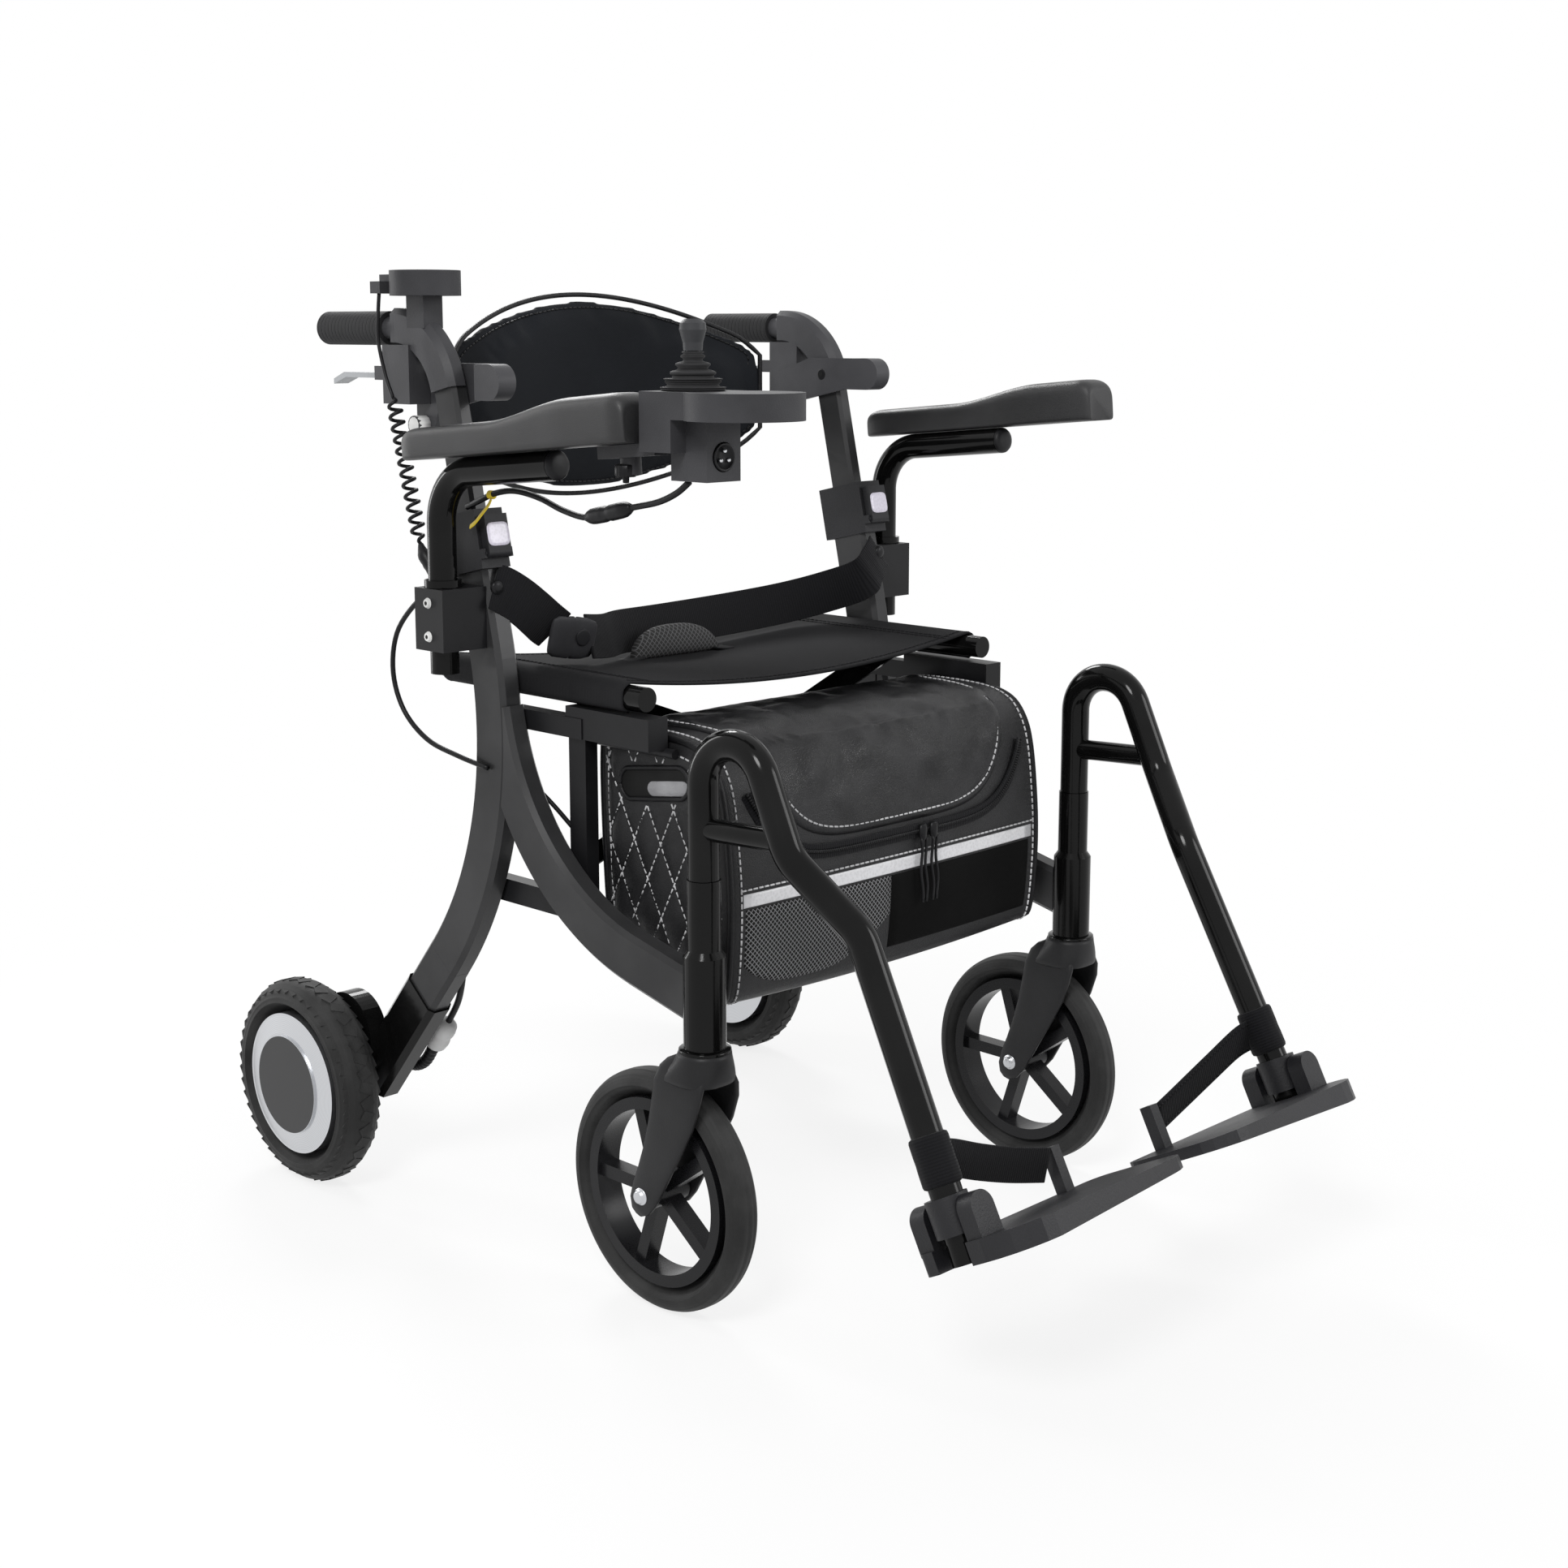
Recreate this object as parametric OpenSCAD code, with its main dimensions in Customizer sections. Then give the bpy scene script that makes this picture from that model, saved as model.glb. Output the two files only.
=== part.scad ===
// Folding powered rollator chair: two side frames joined by a cross brace,
// front casters, hub motor rear wheels, swing-away footrests and a telescopic back.
// The left half is drawn and mirrored for the right half. Front is -Y, up is +Z.

/* [Frame] */
// Distance between the axes of the two seat rails
rail_gap = 418; // [380:1:460]
// Height of the seat rail axes above the floor
rail_z = 493; // [470:1:520]
// Diameter of the seat rails
rail_d = 20; // [16:1:24]
// Front end of the seat rails
rail_front = -32; // [-60:1:-20]
// Length of the seat rails
rail_len = 264; // [230:1:264]
// Middle of a side frame, outboard of its seat rail
frame_out = 23; // [22:1:30]
// Thickness of the side frame bars
frame_t = 22; // [20:1:26]
// Depth of the side frame bars, seen from the side
leg_depth = 42; // [38:1:48]
// Crossing of the column line and the rear leg line, from the front
knee_y = 103; // [95:1:110]
// Height of that crossing
knee_z = 361; // [345:1:375]
// Backward lean of the column in degrees
column_lean = 12.5; // [8:0.5:16]
// Slope of the rear leg from the vertical in degrees
rear_rake = 40; // [36:1:44]
// Radius of the bend from the column to the rear leg
rear_bend = 330; // [260:5:360]
// Length of the rear leg below the crossing
rear_leg_len = 243; // [235:1:255]
// Length of the column above the crossing
column_len = 245; // [235:1:260]
// Radius of the bend from the column to the front leg
front_bend = 225; // [180:5:240]
// Fall of the front leg towards the caster post in degrees
front_fall = 13; // [8:1:18]
// Height at which the front leg meets the caster post
front_leg_z = 268; // [262:1:275]

/* [Casters] */
// Distance between the two caster posts
caster_gap = 467; // [450:1:480]
// Caster post axis, from the front
post_y = -123; // [-135:1:-110]
// Diameter of the caster post
post_d = 34; // [30:1:40]
// Diameter of the sleeve above the caster post
sleeve_d = 27; // [25:1:29]
// Diameter of the caster wheel
caster_d = 200; // [190:1:202]
// Width of the caster tyre
caster_w = 30; // [24:1:34]
// Distance of the caster axle behind the post
caster_trail = 50; // [40:1:55]
// Diameter of the caster stem
stem_d = 14; // [10:1:16]

/* [Drive wheels] */
// Distance between the middles of the drive wheels
drive_gap = 554; // [548:1:570]
// Drive wheel axle, from the front
drive_y = 372; // [355:1:385]
// Diameter of the drive wheel
drive_d = 190; // [180:1:200]
// Width of the drive tyre
drive_w = 42; // [38:1:46]
// Diameter of the hub motor's bright ring
hub_d = 132; // [120:1:140]
// Diameter of the dark hub disc
hub_disc_d = 92; // [80:1:100]
// Diameter of the drive axle
axle_d = 12; // [10:1:16]

/* [Footrests] */
// Diameter of the hanger tube
hanger_d = 25; // [22:1:26]
// Height of the top of the hanger arch
arch_top = 488; // [475:1:500]
// Upper bend of the hanger, from the front
hanger_knee_y = -216; // [-225:1:-210]
// Height of the upper bend
hanger_knee_z = 398; // [390:1:405]
// Inward jog between the two bends
hanger_jog = 26.5; // [15:0.5:35]
// Lower bend of the hanger, from the front
hanger_shin_y = -264; // [-275:1:-255]
// Height of the lower bend
hanger_shin_z = 344; // [335:1:355]
// Foot end of the hanger, from the front
hanger_foot_y = -380; // [-395:1:-365]
// Height of the foot end
hanger_foot_z = 125; // [115:1:140]
// Outward splay of the foot end below the lower bend
hanger_splay = 9; // [0:1:15]
// Gap between the two footplates
plate_gap = 34; // [22:1:60]
// Depth of a footplate
plate_depth = 104; // [90:1:125]
// Thickness of a footplate at its outer end
plate_t = 17; // [14:1:22]

/* [Armrests] */
// Armrest tube axis, outboard of the side frame's middle
armrest_out = 40; // [38:1:44]
// Armrest tube post, from the front
armrest_y = 150; // [145:1:155]
// Height of the armrest's level tube
armrest_z = 668; // [650:1:690]
// Diameter of the armrest tube
armrest_d = 24; // [20:1:25]
// Upward tilt of the armrest towards the front in degrees
armrest_tilt = 5; // [0:1:8]
// Length of the armrest pad
pad_len = 276; // [250:1:280]
// Width of the armrest pad
pad_w = 42; // [38:1:48]
// Height of the pad at its rear end
pad_rear_h = 26; // [20:1:30]
// Height of the pad at its front end
pad_front_h = 38; // [30:1:42]

/* [Handles] */
// Width of the telescopic tube
tube_w = 16; // [12:1:17]
// Depth of the telescopic tube
tube_d = 30; // [24:1:31]
// Distance of the handle arc above the crossing, along the column
arc_at = 383; // [375:1:400]
// Radius of the handle arc
arc_r = 65; // [58:1:75]
// Depth of the handle arc
arc_d = 34; // [30:1:38]
// Diameter of the grip
grip_d = 29; // [26:1:34]
// Length of the grip
grip_len = 92; // [85:1:120]
// Length of the brake lever
lever_len = 72; // [55:1:80]

/* [Backrest] */
// Half width of the backrest cushion
back_half = 190; // [170:1:194]
// Height of the cushion's middle
back_h = 184; // [160:1:190]
// Height of the cushion's ends
back_end_h = 84; // [70:1:100]
// Thickness of the cushion's middle
back_t = 26; // [18:1:30]
// How far the cushion's middle lies behind its ends
back_bow = 52; // [30:1:60]

/* [Seat and bag] */
// Sag of the seat sling at its middle
seat_sag = 16; // [5:1:18]
// Thickness of the seat sling
seat_t = 3; // [2:0.5:4]
// Height of the lower pivots of the cross brace
pivot_z = 338; // [332:1:345]
// Height of a cross brace bar
brace_h = 20; // [16:1:24]
// Height of the top of the bag
bag_top = 464; // [455:1:468]
// Height of the bag's front lower edge
bag_low = 246; // [235:1:260]
// Length of the pull handle on the seat
pull_len = 104; // [80:1:120]

/* [Controls] */
// Radius of the joystick box's round ends
box_r = 44; // [40:1:44]
// Distance between the joystick box's two round ends
box_run = 48; // [40:1:56]
// Height of the stick's tip above the joystick box
stick_h = 52; // [40:1:60]
// Diameter of the attendant control
pod_d = 60; // [52:1:64]
// Number of curls in the coiled lead
curls = 13; // [8:1:15]
// Outer diameter of the coiled lead
coil_d = 14; // [12:0.5:14]
// Diameter of the coiled lead's cord
lead_d = 3.2; // [2.4:0.2:3.6]

/* [Fits] */
// Radial clearance of a pin in its bore
pin_fit = 0.05; // [0.02:0.01:0.1]
// Side clearance of the telescopic tube
slide_fit = 0.25; // [0.2:0.05:0.4]
// Gap around soft pieces and between faces that turn past each other
soft_gap = 0.4; // [0.3:0.1:0.6]
// Running gap between a wheel and what it turns past
run_gap = 1.5; // [1:0.25:2]

/* [Hidden] */
$fn = 48;
right = -1;
left = 1;
run_lap = 0.8;
bend_scale = 0.996;

rail_x = rail_gap / 2;
rail_r = rail_d / 2;
rail_rear = rail_front + rail_len;
frame_x = rail_x + frame_out;
frame_in = frame_x - frame_t / 2;
frame_face = frame_x + frame_t / 2;

// Telescopic column, measured along it from the crossing
travel_down = 45;
tube_low = column_len - 80;
clip_low = column_len - 17;
clip_high = column_len + 33;
clip_d = leg_depth + 12;
clip_in = max(frame_in - 5, rail_x + rail_r + 0.6);
clip_face = frame_face + 6;

// Caster and its post
post_x = caster_gap / 2;
caster_r = caster_d / 2;
axle_y = post_y + caster_trail;
post_low = caster_d + 31;
post_step = front_leg_z + 42;
post_top = post_step + 56;
stem_len = 57;
spigot_d = sleeve_d - 5.2;
spigot_len = 64;
rim_d = caster_d - 44;
blade_t = 5;
caster_pin = 8;

// Drive wheel and its bracket
drive_x = drive_gap / 2;
drive_r = drive_d / 2;
drum_d = 76;
drum_at = [drive_y - 32, drive_r + 47];
boss_d = 56;
sleeve_wall = 2;
bracket_face = drive_x - drive_w / 2 - run_gap;
hub_half = drive_w / 2 - 2;
hub_bulge = 5.5;

// Hanger and footplate
hanger_r = hanger_d / 2;
arch_z = arch_top - hanger_r;
arch_bend = 34;
arch_y = post_y - 57;
hanger_bend = 45;
crossbar_d = 18;
crossbar_z = hanger_knee_z + 8;
shin = [post_x - hanger_jog, hanger_shin_y, hanger_shin_z];
foot = [post_x - hanger_jog + hanger_splay, hanger_foot_y, hanger_foot_z];
shin_lean = atan2(shin.y - foot.y, shin.z - foot.z);
hinge_up = 36;
barrel_r = 12;
hinge_pin = 8;
collar_d = hanger_d + 8;
lug_in = collar_d / 2 + 1;
lug_w = 15;
plate_rear = lug_in + lug_w;
plate_front = plate_depth - plate_rear;
plate_top = hinge_up - barrel_r - 8;
plate_in = plate_gap / 2;
plate_out = foot.x + 15;
hook_x = foot.x - 156;
hook_h = 36;

// Armrest
armrest_x = frame_x + armrest_out;
armrest_r = armrest_d / 2;
armrest_bend = 45;
armrest_run = 150;
socket_space = 3.7;
socket_h = 52;
socket_high = knee_z + clip_low * cos(column_lean) - clip_d / 2 * sin(column_lean) - socket_space;
socket_low = socket_high - socket_h;
pad_up = armrest_r + 0.1;
pad_rear = 14;
pad_front = pad_len - pad_rear;
pad_in = -12;

// Handle
handle_x = frame_x + 2;
arc_w = 20;
arc_setback = arc_r * tan((90 - column_lean) / 2);
arc_corner = [knee_y + (arc_at + arc_setback) * sin(column_lean),
    knee_z + (arc_at + arc_setback) * cos(column_lean)];
handle_end = arc_corner[0] + arc_setback + 4;
grip_z = arc_corner[1];
core_d = 20;
brake_front = handle_end - 28;
brake_rear = handle_end + 10;
brake_low = grip_z - 64;
brake_high = grip_z - 14;
grip_front = brake_rear + 2;
grip_rear = grip_front + grip_len;
lever_y = brake_rear + 7;
lever_z = grip_z - 38;
lever_w = 15;
lever_pin = 4;

// Backrest
arm_in = rail_x + rail_r + 0.8;
arm_face = handle_x - arc_w / 2 - soft_gap;
bolt_y = column_point(arc_at + 6)[0];
bolt_z = column_point(arc_at + 6)[1];
back_bolt = 10;
nose_front = bolt_y - 74;
link_front = rail_rear + 2;
link_rear = link_front + 10;
link_low = bolt_z - 46;
link_high = bolt_z - 24;
knob_z = bolt_z - 37;
back_z = bolt_z - 17;

// Cross brace, saddle and bag rods
brace_t = 14;
front_brace_y = 66;
rear_brace_y = front_brace_y + brace_t + 3;
brace_pin = 12;
eye_d = 2 * (frame_in - rail_x) - 1;
saddle_top = rail_z - rail_r - seat_t - 2 * soft_gap;
saddle_low = saddle_top - 26;
strut_front = 36;
strut_rear = front_brace_y - brace_t / 2 - 2;
lug_front = rear_brace_y + brace_t / 2 + 1.5;
rod_r = 4;
rod_x = rail_x - 9;
rod_z = saddle_low - rod_r + 1;
side_bar = [frame_in - 14, frame_in];
sling_front = rail_front + 18;
bag_half = rod_x - rod_r - soft_gap;
bag_wall = 3;

// Controls
box_x = frame_x + 26;
box_rear = armrest_y - pad_front * cos(armrest_tilt) - 6;
stick_y = box_rear - 24;
nose_y = stick_y - box_run - 6;
box_high = armrest_z + pad_up + pad_front_h + pad_front * sin(armrest_tilt);
box_low = box_high - 20;
block_low = box_low - 45;
pod_y = arc_corner[0] + 18;
pod_low = grip_z + 27;
pod_h = 21;

// The origin is on the floor, under the middle of the overall length
rear_most = drive_y + drive_r;
front_most = foot.y - plate_front * cos(shin_lean) + (plate_top - plate_t) * sin(shin_lean);
mid_y = (rear_most + front_most) / 2;

// Hand-chosen cord and strap routes, on the side that they are drawn for
lead_route = [[258, 248, 814.6], [258, 250, 800], [259, 250, 776], [258, 243, 748], [258, 236, 734]];
coil_top = [258, 233, 729];
coil_low = [258, 199, 606];
plug_route = [[258, 195, 598], [257, 186, 587], [256, 175, 576]];
loop_route = [[256, 182, 568], [256, 212, 553], [256, 240, 525], [256, 247, 490], [255, 234, 458],
    [253, 204, 436], [249, 166, 426], [245.4, 130, 420]];
motor_route = [[215.6, 322, 121], [210, 304, 110], [208, 284, 116], [208, 266, 138], [208, 248, 160],
    [209, 230, 184], [214, 216, 206], [217.6, 208, 226]];
brace_route = [[218.8, 112, 410], [214, 96, 398], [211, 80, 386], [210, 59.5, 372]];
joystick_route = [[258, -136, 674], [257, -121, 665], [255, -98, 657], [253, -66, 651], [252, -38, 645],
    [251, -10, 640], [250, 20, 644], [249, 50, 652], [249, 80, 656], [249, 106, 653], [248, 128, 646],
    [245, 150, 639]];
belt_w = 40;
belt_t = 2;
belt_button = 16;
belt_end = frame_in - 10;
belt_rise = [0, 0, rail_z];
belt_right = [for (p = [[-belt_end, 150, 79], [-204, 134, 69], [-194, 126, 55], [-172, 128, 37]])
    p + belt_rise];
belt_left = [for (p = [[-132, 130, 28], [-95, 150, 23], [-60, 168, 22], [0, 180, 21], [87, 182, 23.5],
    [150, 172, 30], [190, 160, 43], [belt_end, 152, 59]]) p + belt_rise];
buckle_low = [-174, 119, 9.8] + belt_rise;
buckle_high = [-130, 137, 50] + belt_rise;
pull_x = -12;
pull_back = 82;
pull_t = 7;
pull_h = 14;
strap_route = [[-12, 4, 76], [-30, 10, 73], [-64, 18, 62], [-104, 24, 50], [-142, 26, 40]];

// Vectors and paths
function unit(v) = v / norm(v);
function square_to(d, e) = unit(e - d * (e * d));
function across(d) = unit(cross(abs(d.x) < 0.9 ? [1, 0, 0] : [0, 1, 0], d));
function turn(a, b, c) = acos(unit(b - a) * unit(c - b));
function setback(p, r, i) = i == 0 || i == len(p) - 1 ? 0 : r[i] * tan(turn(p[i - 1], p[i], p[i + 1]) / 2);
function heading(p, i) = unit(p[min(i + 1, len(p) - 1)] - p[max(i - 1, 0)]);
function on_line(n, d) = [
    [n.x, cross(d, n).x, d.x], [n.y, cross(d, n).y, d.y], [n.z, cross(d, n).z, d.z]];
function placed(m, o) = [for (i = [0:2]) [m[i][0], m[i][1], m[i][2], o[i]]];

// A smooth curve through hand-chosen points, with steps between each two
function between(a, b, c, d, t) = b + (c - a) * t / 2 + (a * 2 - b * 5 + c * 4 - d) * t * t / 2
    + (b * 3 - a - c * 3 + d) * t * t * t / 2;
function smooth(p, steps) = let (e = len(p) - 1) concat(
    [for (i = [0:e - 1]) for (k = [0:steps - 1])
        between(p[max(i - 1, 0)], p[i], p[i + 1], p[min(i + 2, e)], k / steps)],
    [p[e]]);

// Points down the column or the rear leg in the side view, as [y, z]
function column_point(up, back = 0) = [
    knee_y + up * sin(column_lean) + back * cos(column_lean),
    knee_z + up * cos(column_lean) - back * sin(column_lean)];
function rear_point(down) = [knee_y + down * sin(rear_rake), knee_z - down * cos(rear_rake)];
function in_side(p) = [0, p[0], p[1]];

// Draws the left piece, or the right piece as its mirror image, from the origin
module side(s) translate([0, -mid_y, 0]) mirror([s < 0 ? 1 : 0, 0, 0]) children();
module middle() translate([0, -mid_y, 0]) children();
module on_column() translate([frame_x, knee_y, knee_z]) rotate([-column_lean, 0, 0]) children();
module on_foot() translate(foot) rotate([-shin_lean, 0, 0]) children();
module along_x(a, b) translate([a, 0, 0]) rotate([90, 0, 90]) linear_extrude(b - a) children();
module along_y(a, b) translate([0, b, 0]) rotate([90, 0, 0]) linear_extrude(b - a) children();
module pin_x(a, b, y, z, d) translate([a, y, z]) rotate([0, 90, 0]) cylinder(d = d, h = b - a);
module pin_y(a, b, x, z, d) translate([x, b, z]) rotate([90, 0, 0]) cylinder(d = d, h = b - a);
module box(low, high) translate(low) cube(high - low);

// Section of a flat bar with its corners taken off
module bar(w, d, c = 4) polygon([
    [d / 2 - c, -w / 2], [d / 2, -w / 2 + c], [d / 2, w / 2 - c], [d / 2 - c, w / 2],
    [c - d / 2, w / 2], [-d / 2, w / 2 - c], [-d / 2, c - w / 2], [c - d / 2, -w / 2]]);

// A section carried along a straight run, a bend, or runs with bends between them
module run(a, b) multmatrix(placed(on_line(across(unit(b - a)), unit(b - a)), a))
    linear_extrude(norm(b - a)) children();
module bend(a, b, c, r) {
    d = unit(b - a);
    n = square_to(d, unit(c - b));
    start = b - d * r * tan(turn(a, b, c) / 2);
    multmatrix(placed(on_line(-n, cross(d, n)), start + n * r))
        rotate_extrude(angle = turn(a, b, c), $fn = 96) translate([r, 0]) scale(bend_scale) children();
}
// Runs reach a little way into the bends, whose section is a hair smaller, so that they join cleanly
module sweep(p, r) {
    for (i = [0:len(p) - 2]) {
        d = unit(p[i + 1] - p[i]);
        a = p[i] + d * (setback(p, r, i) - (i > 0 ? run_lap : 0));
        b = p[i + 1] - d * (setback(p, r, i + 1) - (i < len(p) - 2 ? run_lap : 0));
        run(a, b) children();
    }
    for (i = [1:1:len(p) - 2]) bend(p[i - 1], p[i], p[i + 1], r[i]) children();
}

// A skin of triangles over rings of n points each
module skin(rings, n) {
    last = (len(rings) - 1) * n;
    sides = [for (i = [0:len(rings) - 2]) for (k = [0:n - 1]) let (a = i * n + k, b = i * n + (k + 1) % n)
        each [[a, b + n, b], [a, a + n, b + n]]];
    caps = [for (k = [0:n / 2 - 2]) let (m = n - 2 - k) each [
        [k, k + 1, m], [k, m, m + 1],
        [last + k, last + m, last + k + 1], [last + k, last + m + 1, last + m]]];
    polyhedron([for (r = rings) each r], concat(sides, caps));
}
function side_vectors(p, e) = [
    for (i = 0, v = square_to(heading(p, 0), e); i < len(p);
        i = i + 1, v = i < len(p) ? square_to(heading(p, i), v) : v) v];
module tube(p, d, n = 8) {
    v = side_vectors(p, across(heading(p, 0)));
    skin([for (i = [0:len(p) - 1]) [for (k = [0:n - 1])
        p[i] + d / 2 * (v[i] * cos(360 * k / n) + cross(heading(p, i), v[i]) * sin(360 * k / n))]], n);
}
// A flat strap, with its width across the path and towards e
module strap(p, w, t, e) skin([for (i = [0:len(p) - 1])
    let (h = heading(p, i), v = square_to(h, e) * w / 2, u = cross(h, unit(v)) * t / 2)
    [p[i] - v - u, p[i] + v - u, p[i] + v + u, p[i] - v + u]], 4);

// Side frame: the column runs into the rear leg, and the front leg branches off it
module rear_leg_bar(spare = 0) translate([frame_x, 0, 0])
    sweep([in_side(column_point(column_len)), in_side([knee_y, knee_z]), in_side(rear_point(rear_leg_len))],
        [0, rear_bend, 0]) bar(frame_t + spare, leg_depth);
module rear_leg(s) color("dimgray") side(s) difference() {
    rear_leg_bar();
    on_column() translate([0, 0, (column_len + tube_low - travel_down) / 2])
        cube([tube_w + 2 * slide_fit, tube_d + 2 * slide_fit, column_len - tube_low + travel_down + 4],
            center = true);
}
front_corner_run = (knee_y + (front_leg_z - knee_z) * tan(column_lean) - post_y)
    / (cos(front_fall) - sin(front_fall) * tan(column_lean));
front_corner = [post_y + front_corner_run * cos(front_fall),
    front_leg_z + front_corner_run * sin(front_fall)];
front_leg_top = column_point(112);
module front_leg_bar() translate([frame_x, 0, 0])
    sweep([in_side(front_leg_top), in_side(front_corner), in_side([post_y, front_leg_z])],
        [0, front_bend, 0]) bar(frame_t, leg_depth);
module front_leg(s) color("dimgray") side(s) difference() {
    union() {
        difference() {
            front_leg_bar();
            rear_leg_bar(spare = 4);
        }
        translate([post_x, post_y, post_low]) {
            cylinder(d = post_d, h = post_step - 5 - post_low);
            translate([0, 0, post_step - 5 - post_low]) cylinder(d1 = post_d, d2 = sleeve_d, h = 5);
            cylinder(d = sleeve_d, h = post_top - post_low);
        }
    }
    translate([post_x, post_y, post_low - 1]) cylinder(d = stem_d + 2 * pin_fit, h = stem_len + 5);
    translate([post_x, post_y, post_top - spigot_len - 2])
        cylinder(d = spigot_d + 2 * pin_fit, h = spigot_len + 3);
}

// Bracket that clamps the rear leg and carries the hub motor's axle
module motor_bracket(s) color("#1c1c1e") side(s) difference() {
    union() {
        along_x(frame_x + 4, bracket_face) hull() {
            translate(drum_at) circle(d = drum_d);
            translate([drive_y, drive_r]) circle(d = boss_d);
        }
        translate([frame_x, 0, 0])
            run(in_side(rear_point(rear_leg_len - 30)), in_side(rear_point(rear_leg_len + 100)))
                bar(frame_t + 2 * sleeve_wall, leg_depth + 2 * sleeve_wall, 5);
        pin_x(bracket_face - 1, drive_x + hub_half - 6, drive_y, drive_r, axle_d);
    }
    rear_leg_bar();
}

// Saddle for the seat rail, side bars, strut, bag rod and the lower pivot of the cross brace
module side_bracket(s) color("#202022") side(s) {
    box([side_bar[0], strut_front, saddle_low], [side_bar[1], 130, saddle_low + 17]);
    box([rail_x - rail_r, -45, saddle_low], [frame_in - 1, strut_rear, saddle_top]);
    box([rail_x - 5, strut_front, pivot_z - 20], [frame_in - 4, strut_rear, saddle_low]);
    box([side_bar[0], 15, pivot_z - 40], [side_bar[1], 166, pivot_z - 20]);
    box([rail_x - 6, lug_front, pivot_z - 24], [side_bar[0] + 4, lug_front + 6, pivot_z + 12]);
    pin_y(strut_rear - 3, lug_front + 3, rail_x, pivot_z, brace_pin);
    pin_y(-55, strut_rear - 2, rod_x, rod_z, 2 * rod_r);
}

// Drive wheel
module round_profile(r_in, r_out, half, edge) {
    function corner(c, a) = [for (i = [0:6]) c + edge * [cos(a + 15 * i), sin(a + 15 * i)]];
    polygon(concat([[r_in, half - edge], [r_in, edge - half]],
        corner([r_out - edge, edge - half], -90), corner([r_out - edge, half - edge], 0)));
}
module drive_tyre(s) color("#242425") side(s) translate([drive_x, drive_y, drive_r]) rotate([0, 90, 0])
    rotate_extrude($fn = 96) round_profile(hub_d / 2 + pin_fit, drive_r, drive_w / 2, drive_w / 2 - 2);
module hub_motor(s) color("silver") side(s) translate([drive_x, drive_y, drive_r]) rotate([0, 90, 0])
    difference() {
        union() {
            translate([0, 0, -hub_half]) cylinder(d = hub_d, h = 2 * hub_half, $fn = 96);
            translate([0, 0, hub_half]) cylinder(d1 = hub_d - 4, d2 = hub_disc_d + 4, h = hub_bulge - 2);
            cylinder(d = hub_disc_d, h = hub_half + hub_bulge, $fn = 96);
        }
        translate([0, 0, -hub_half - 1]) cylinder(d = axle_d + 2 * pin_fit, h = 2 * hub_half - 4);
    }

// Front caster
blade_in = caster_w / 2 + 2 * run_gap;
module fork_blade() along_x(blade_in, blade_in + blade_t) {
    translate([axle_y, caster_r]) circle(14);
    polygon([[post_y - 20, post_low - 10], [post_y + 36, post_low - 10], [post_y + 40, post_low - 40],
        [axle_y + 14, caster_r], [axle_y - 14, caster_r], [post_y - 18, post_low - 50]]);
}
module caster_fork(s) color("#2a2a2c") side(s) translate([post_x, 0, 0]) {
    translate([0, post_y, post_low - 12]) cylinder(d = post_d + 9, h = 12 - soft_gap);
    translate([0, post_y, post_low - 12]) cylinder(d = stem_d, h = stem_len + 12);
    box([-blade_in - blade_t, post_y - 20, post_low - 26], [blade_in + blade_t, post_y + 36, post_low - 10]);
    for (m = [0, 1]) mirror([m, 0, 0]) {
        fork_blade();
        pin_x(blade_in + blade_t, blade_in + blade_t + 4, axle_y, caster_r, 14);
    }
    pin_x(-blade_in - 1, blade_in + 1, axle_y, caster_r, caster_pin);
}
module caster_rim(s) color("#1b1b1c") side(s) translate([post_x, axle_y, caster_r]) rotate([0, 90, 0])
    difference() {
        union() {
            cylinder(d = 26, h = 2 * blade_in - 2, center = true);
            difference() {
                cylinder(d = rim_d - 2 * pin_fit, h = caster_w - 6, center = true, $fn = 96);
                cylinder(d = rim_d - 20, h = caster_w, center = true, $fn = 96);
            }
            for (a = [0:72:288]) rotate(a + 18) translate([rim_d / 4, 0, 0])
                cube([rim_d / 2 - 6, 11, caster_w / 2], center = true);
        }
        cylinder(d = caster_pin + 2 * pin_fit, h = caster_w + 40, center = true);
    }
module caster_tyre(s) color("#242425") side(s) translate([post_x, axle_y, caster_r]) rotate([0, 90, 0])
    rotate_extrude($fn = 96) round_profile(rim_d / 2, caster_r, caster_w / 2, caster_w / 2 - 3);

// Swing-away hanger: an arch with a crossbar, a jog inwards and a splayed lower tube
hanger_knee = [post_x, hanger_knee_y, hanger_knee_z];
arch_front = [post_x, arch_y, arch_z];
function down_arch(z) = arch_front + (hanger_knee - arch_front) * (arch_z - z) / (arch_z - hanger_knee_z);
module hanger(s) color("#161618") side(s) {
    sweep([[post_x, post_y, post_top + soft_gap], [post_x, post_y, arch_z], arch_front,
            hanger_knee, shin, foot],
        [0, arch_bend, arch_bend, hanger_bend, hanger_bend, 0]) circle(d = hanger_d);
    translate([post_x, post_y, post_top - spigot_len]) cylinder(d = spigot_d, h = spigot_len + soft_gap + 2);
    run([post_x, post_y, crossbar_z], down_arch(crossbar_z + 4)) circle(d = crossbar_d);
}
module footplate_block(s) color("#2c2c2e") side(s) difference() {
    on_foot() {
        translate([0, 0, hinge_up - 14]) cylinder(d = collar_d, h = 28);
        pin_y(-plate_rear, plate_rear, 0, hinge_up, hinge_pin);
    }
    run(foot - unit(shin - foot) * 8, shin) circle(d = hanger_d + 2 * pin_fit);
}
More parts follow.
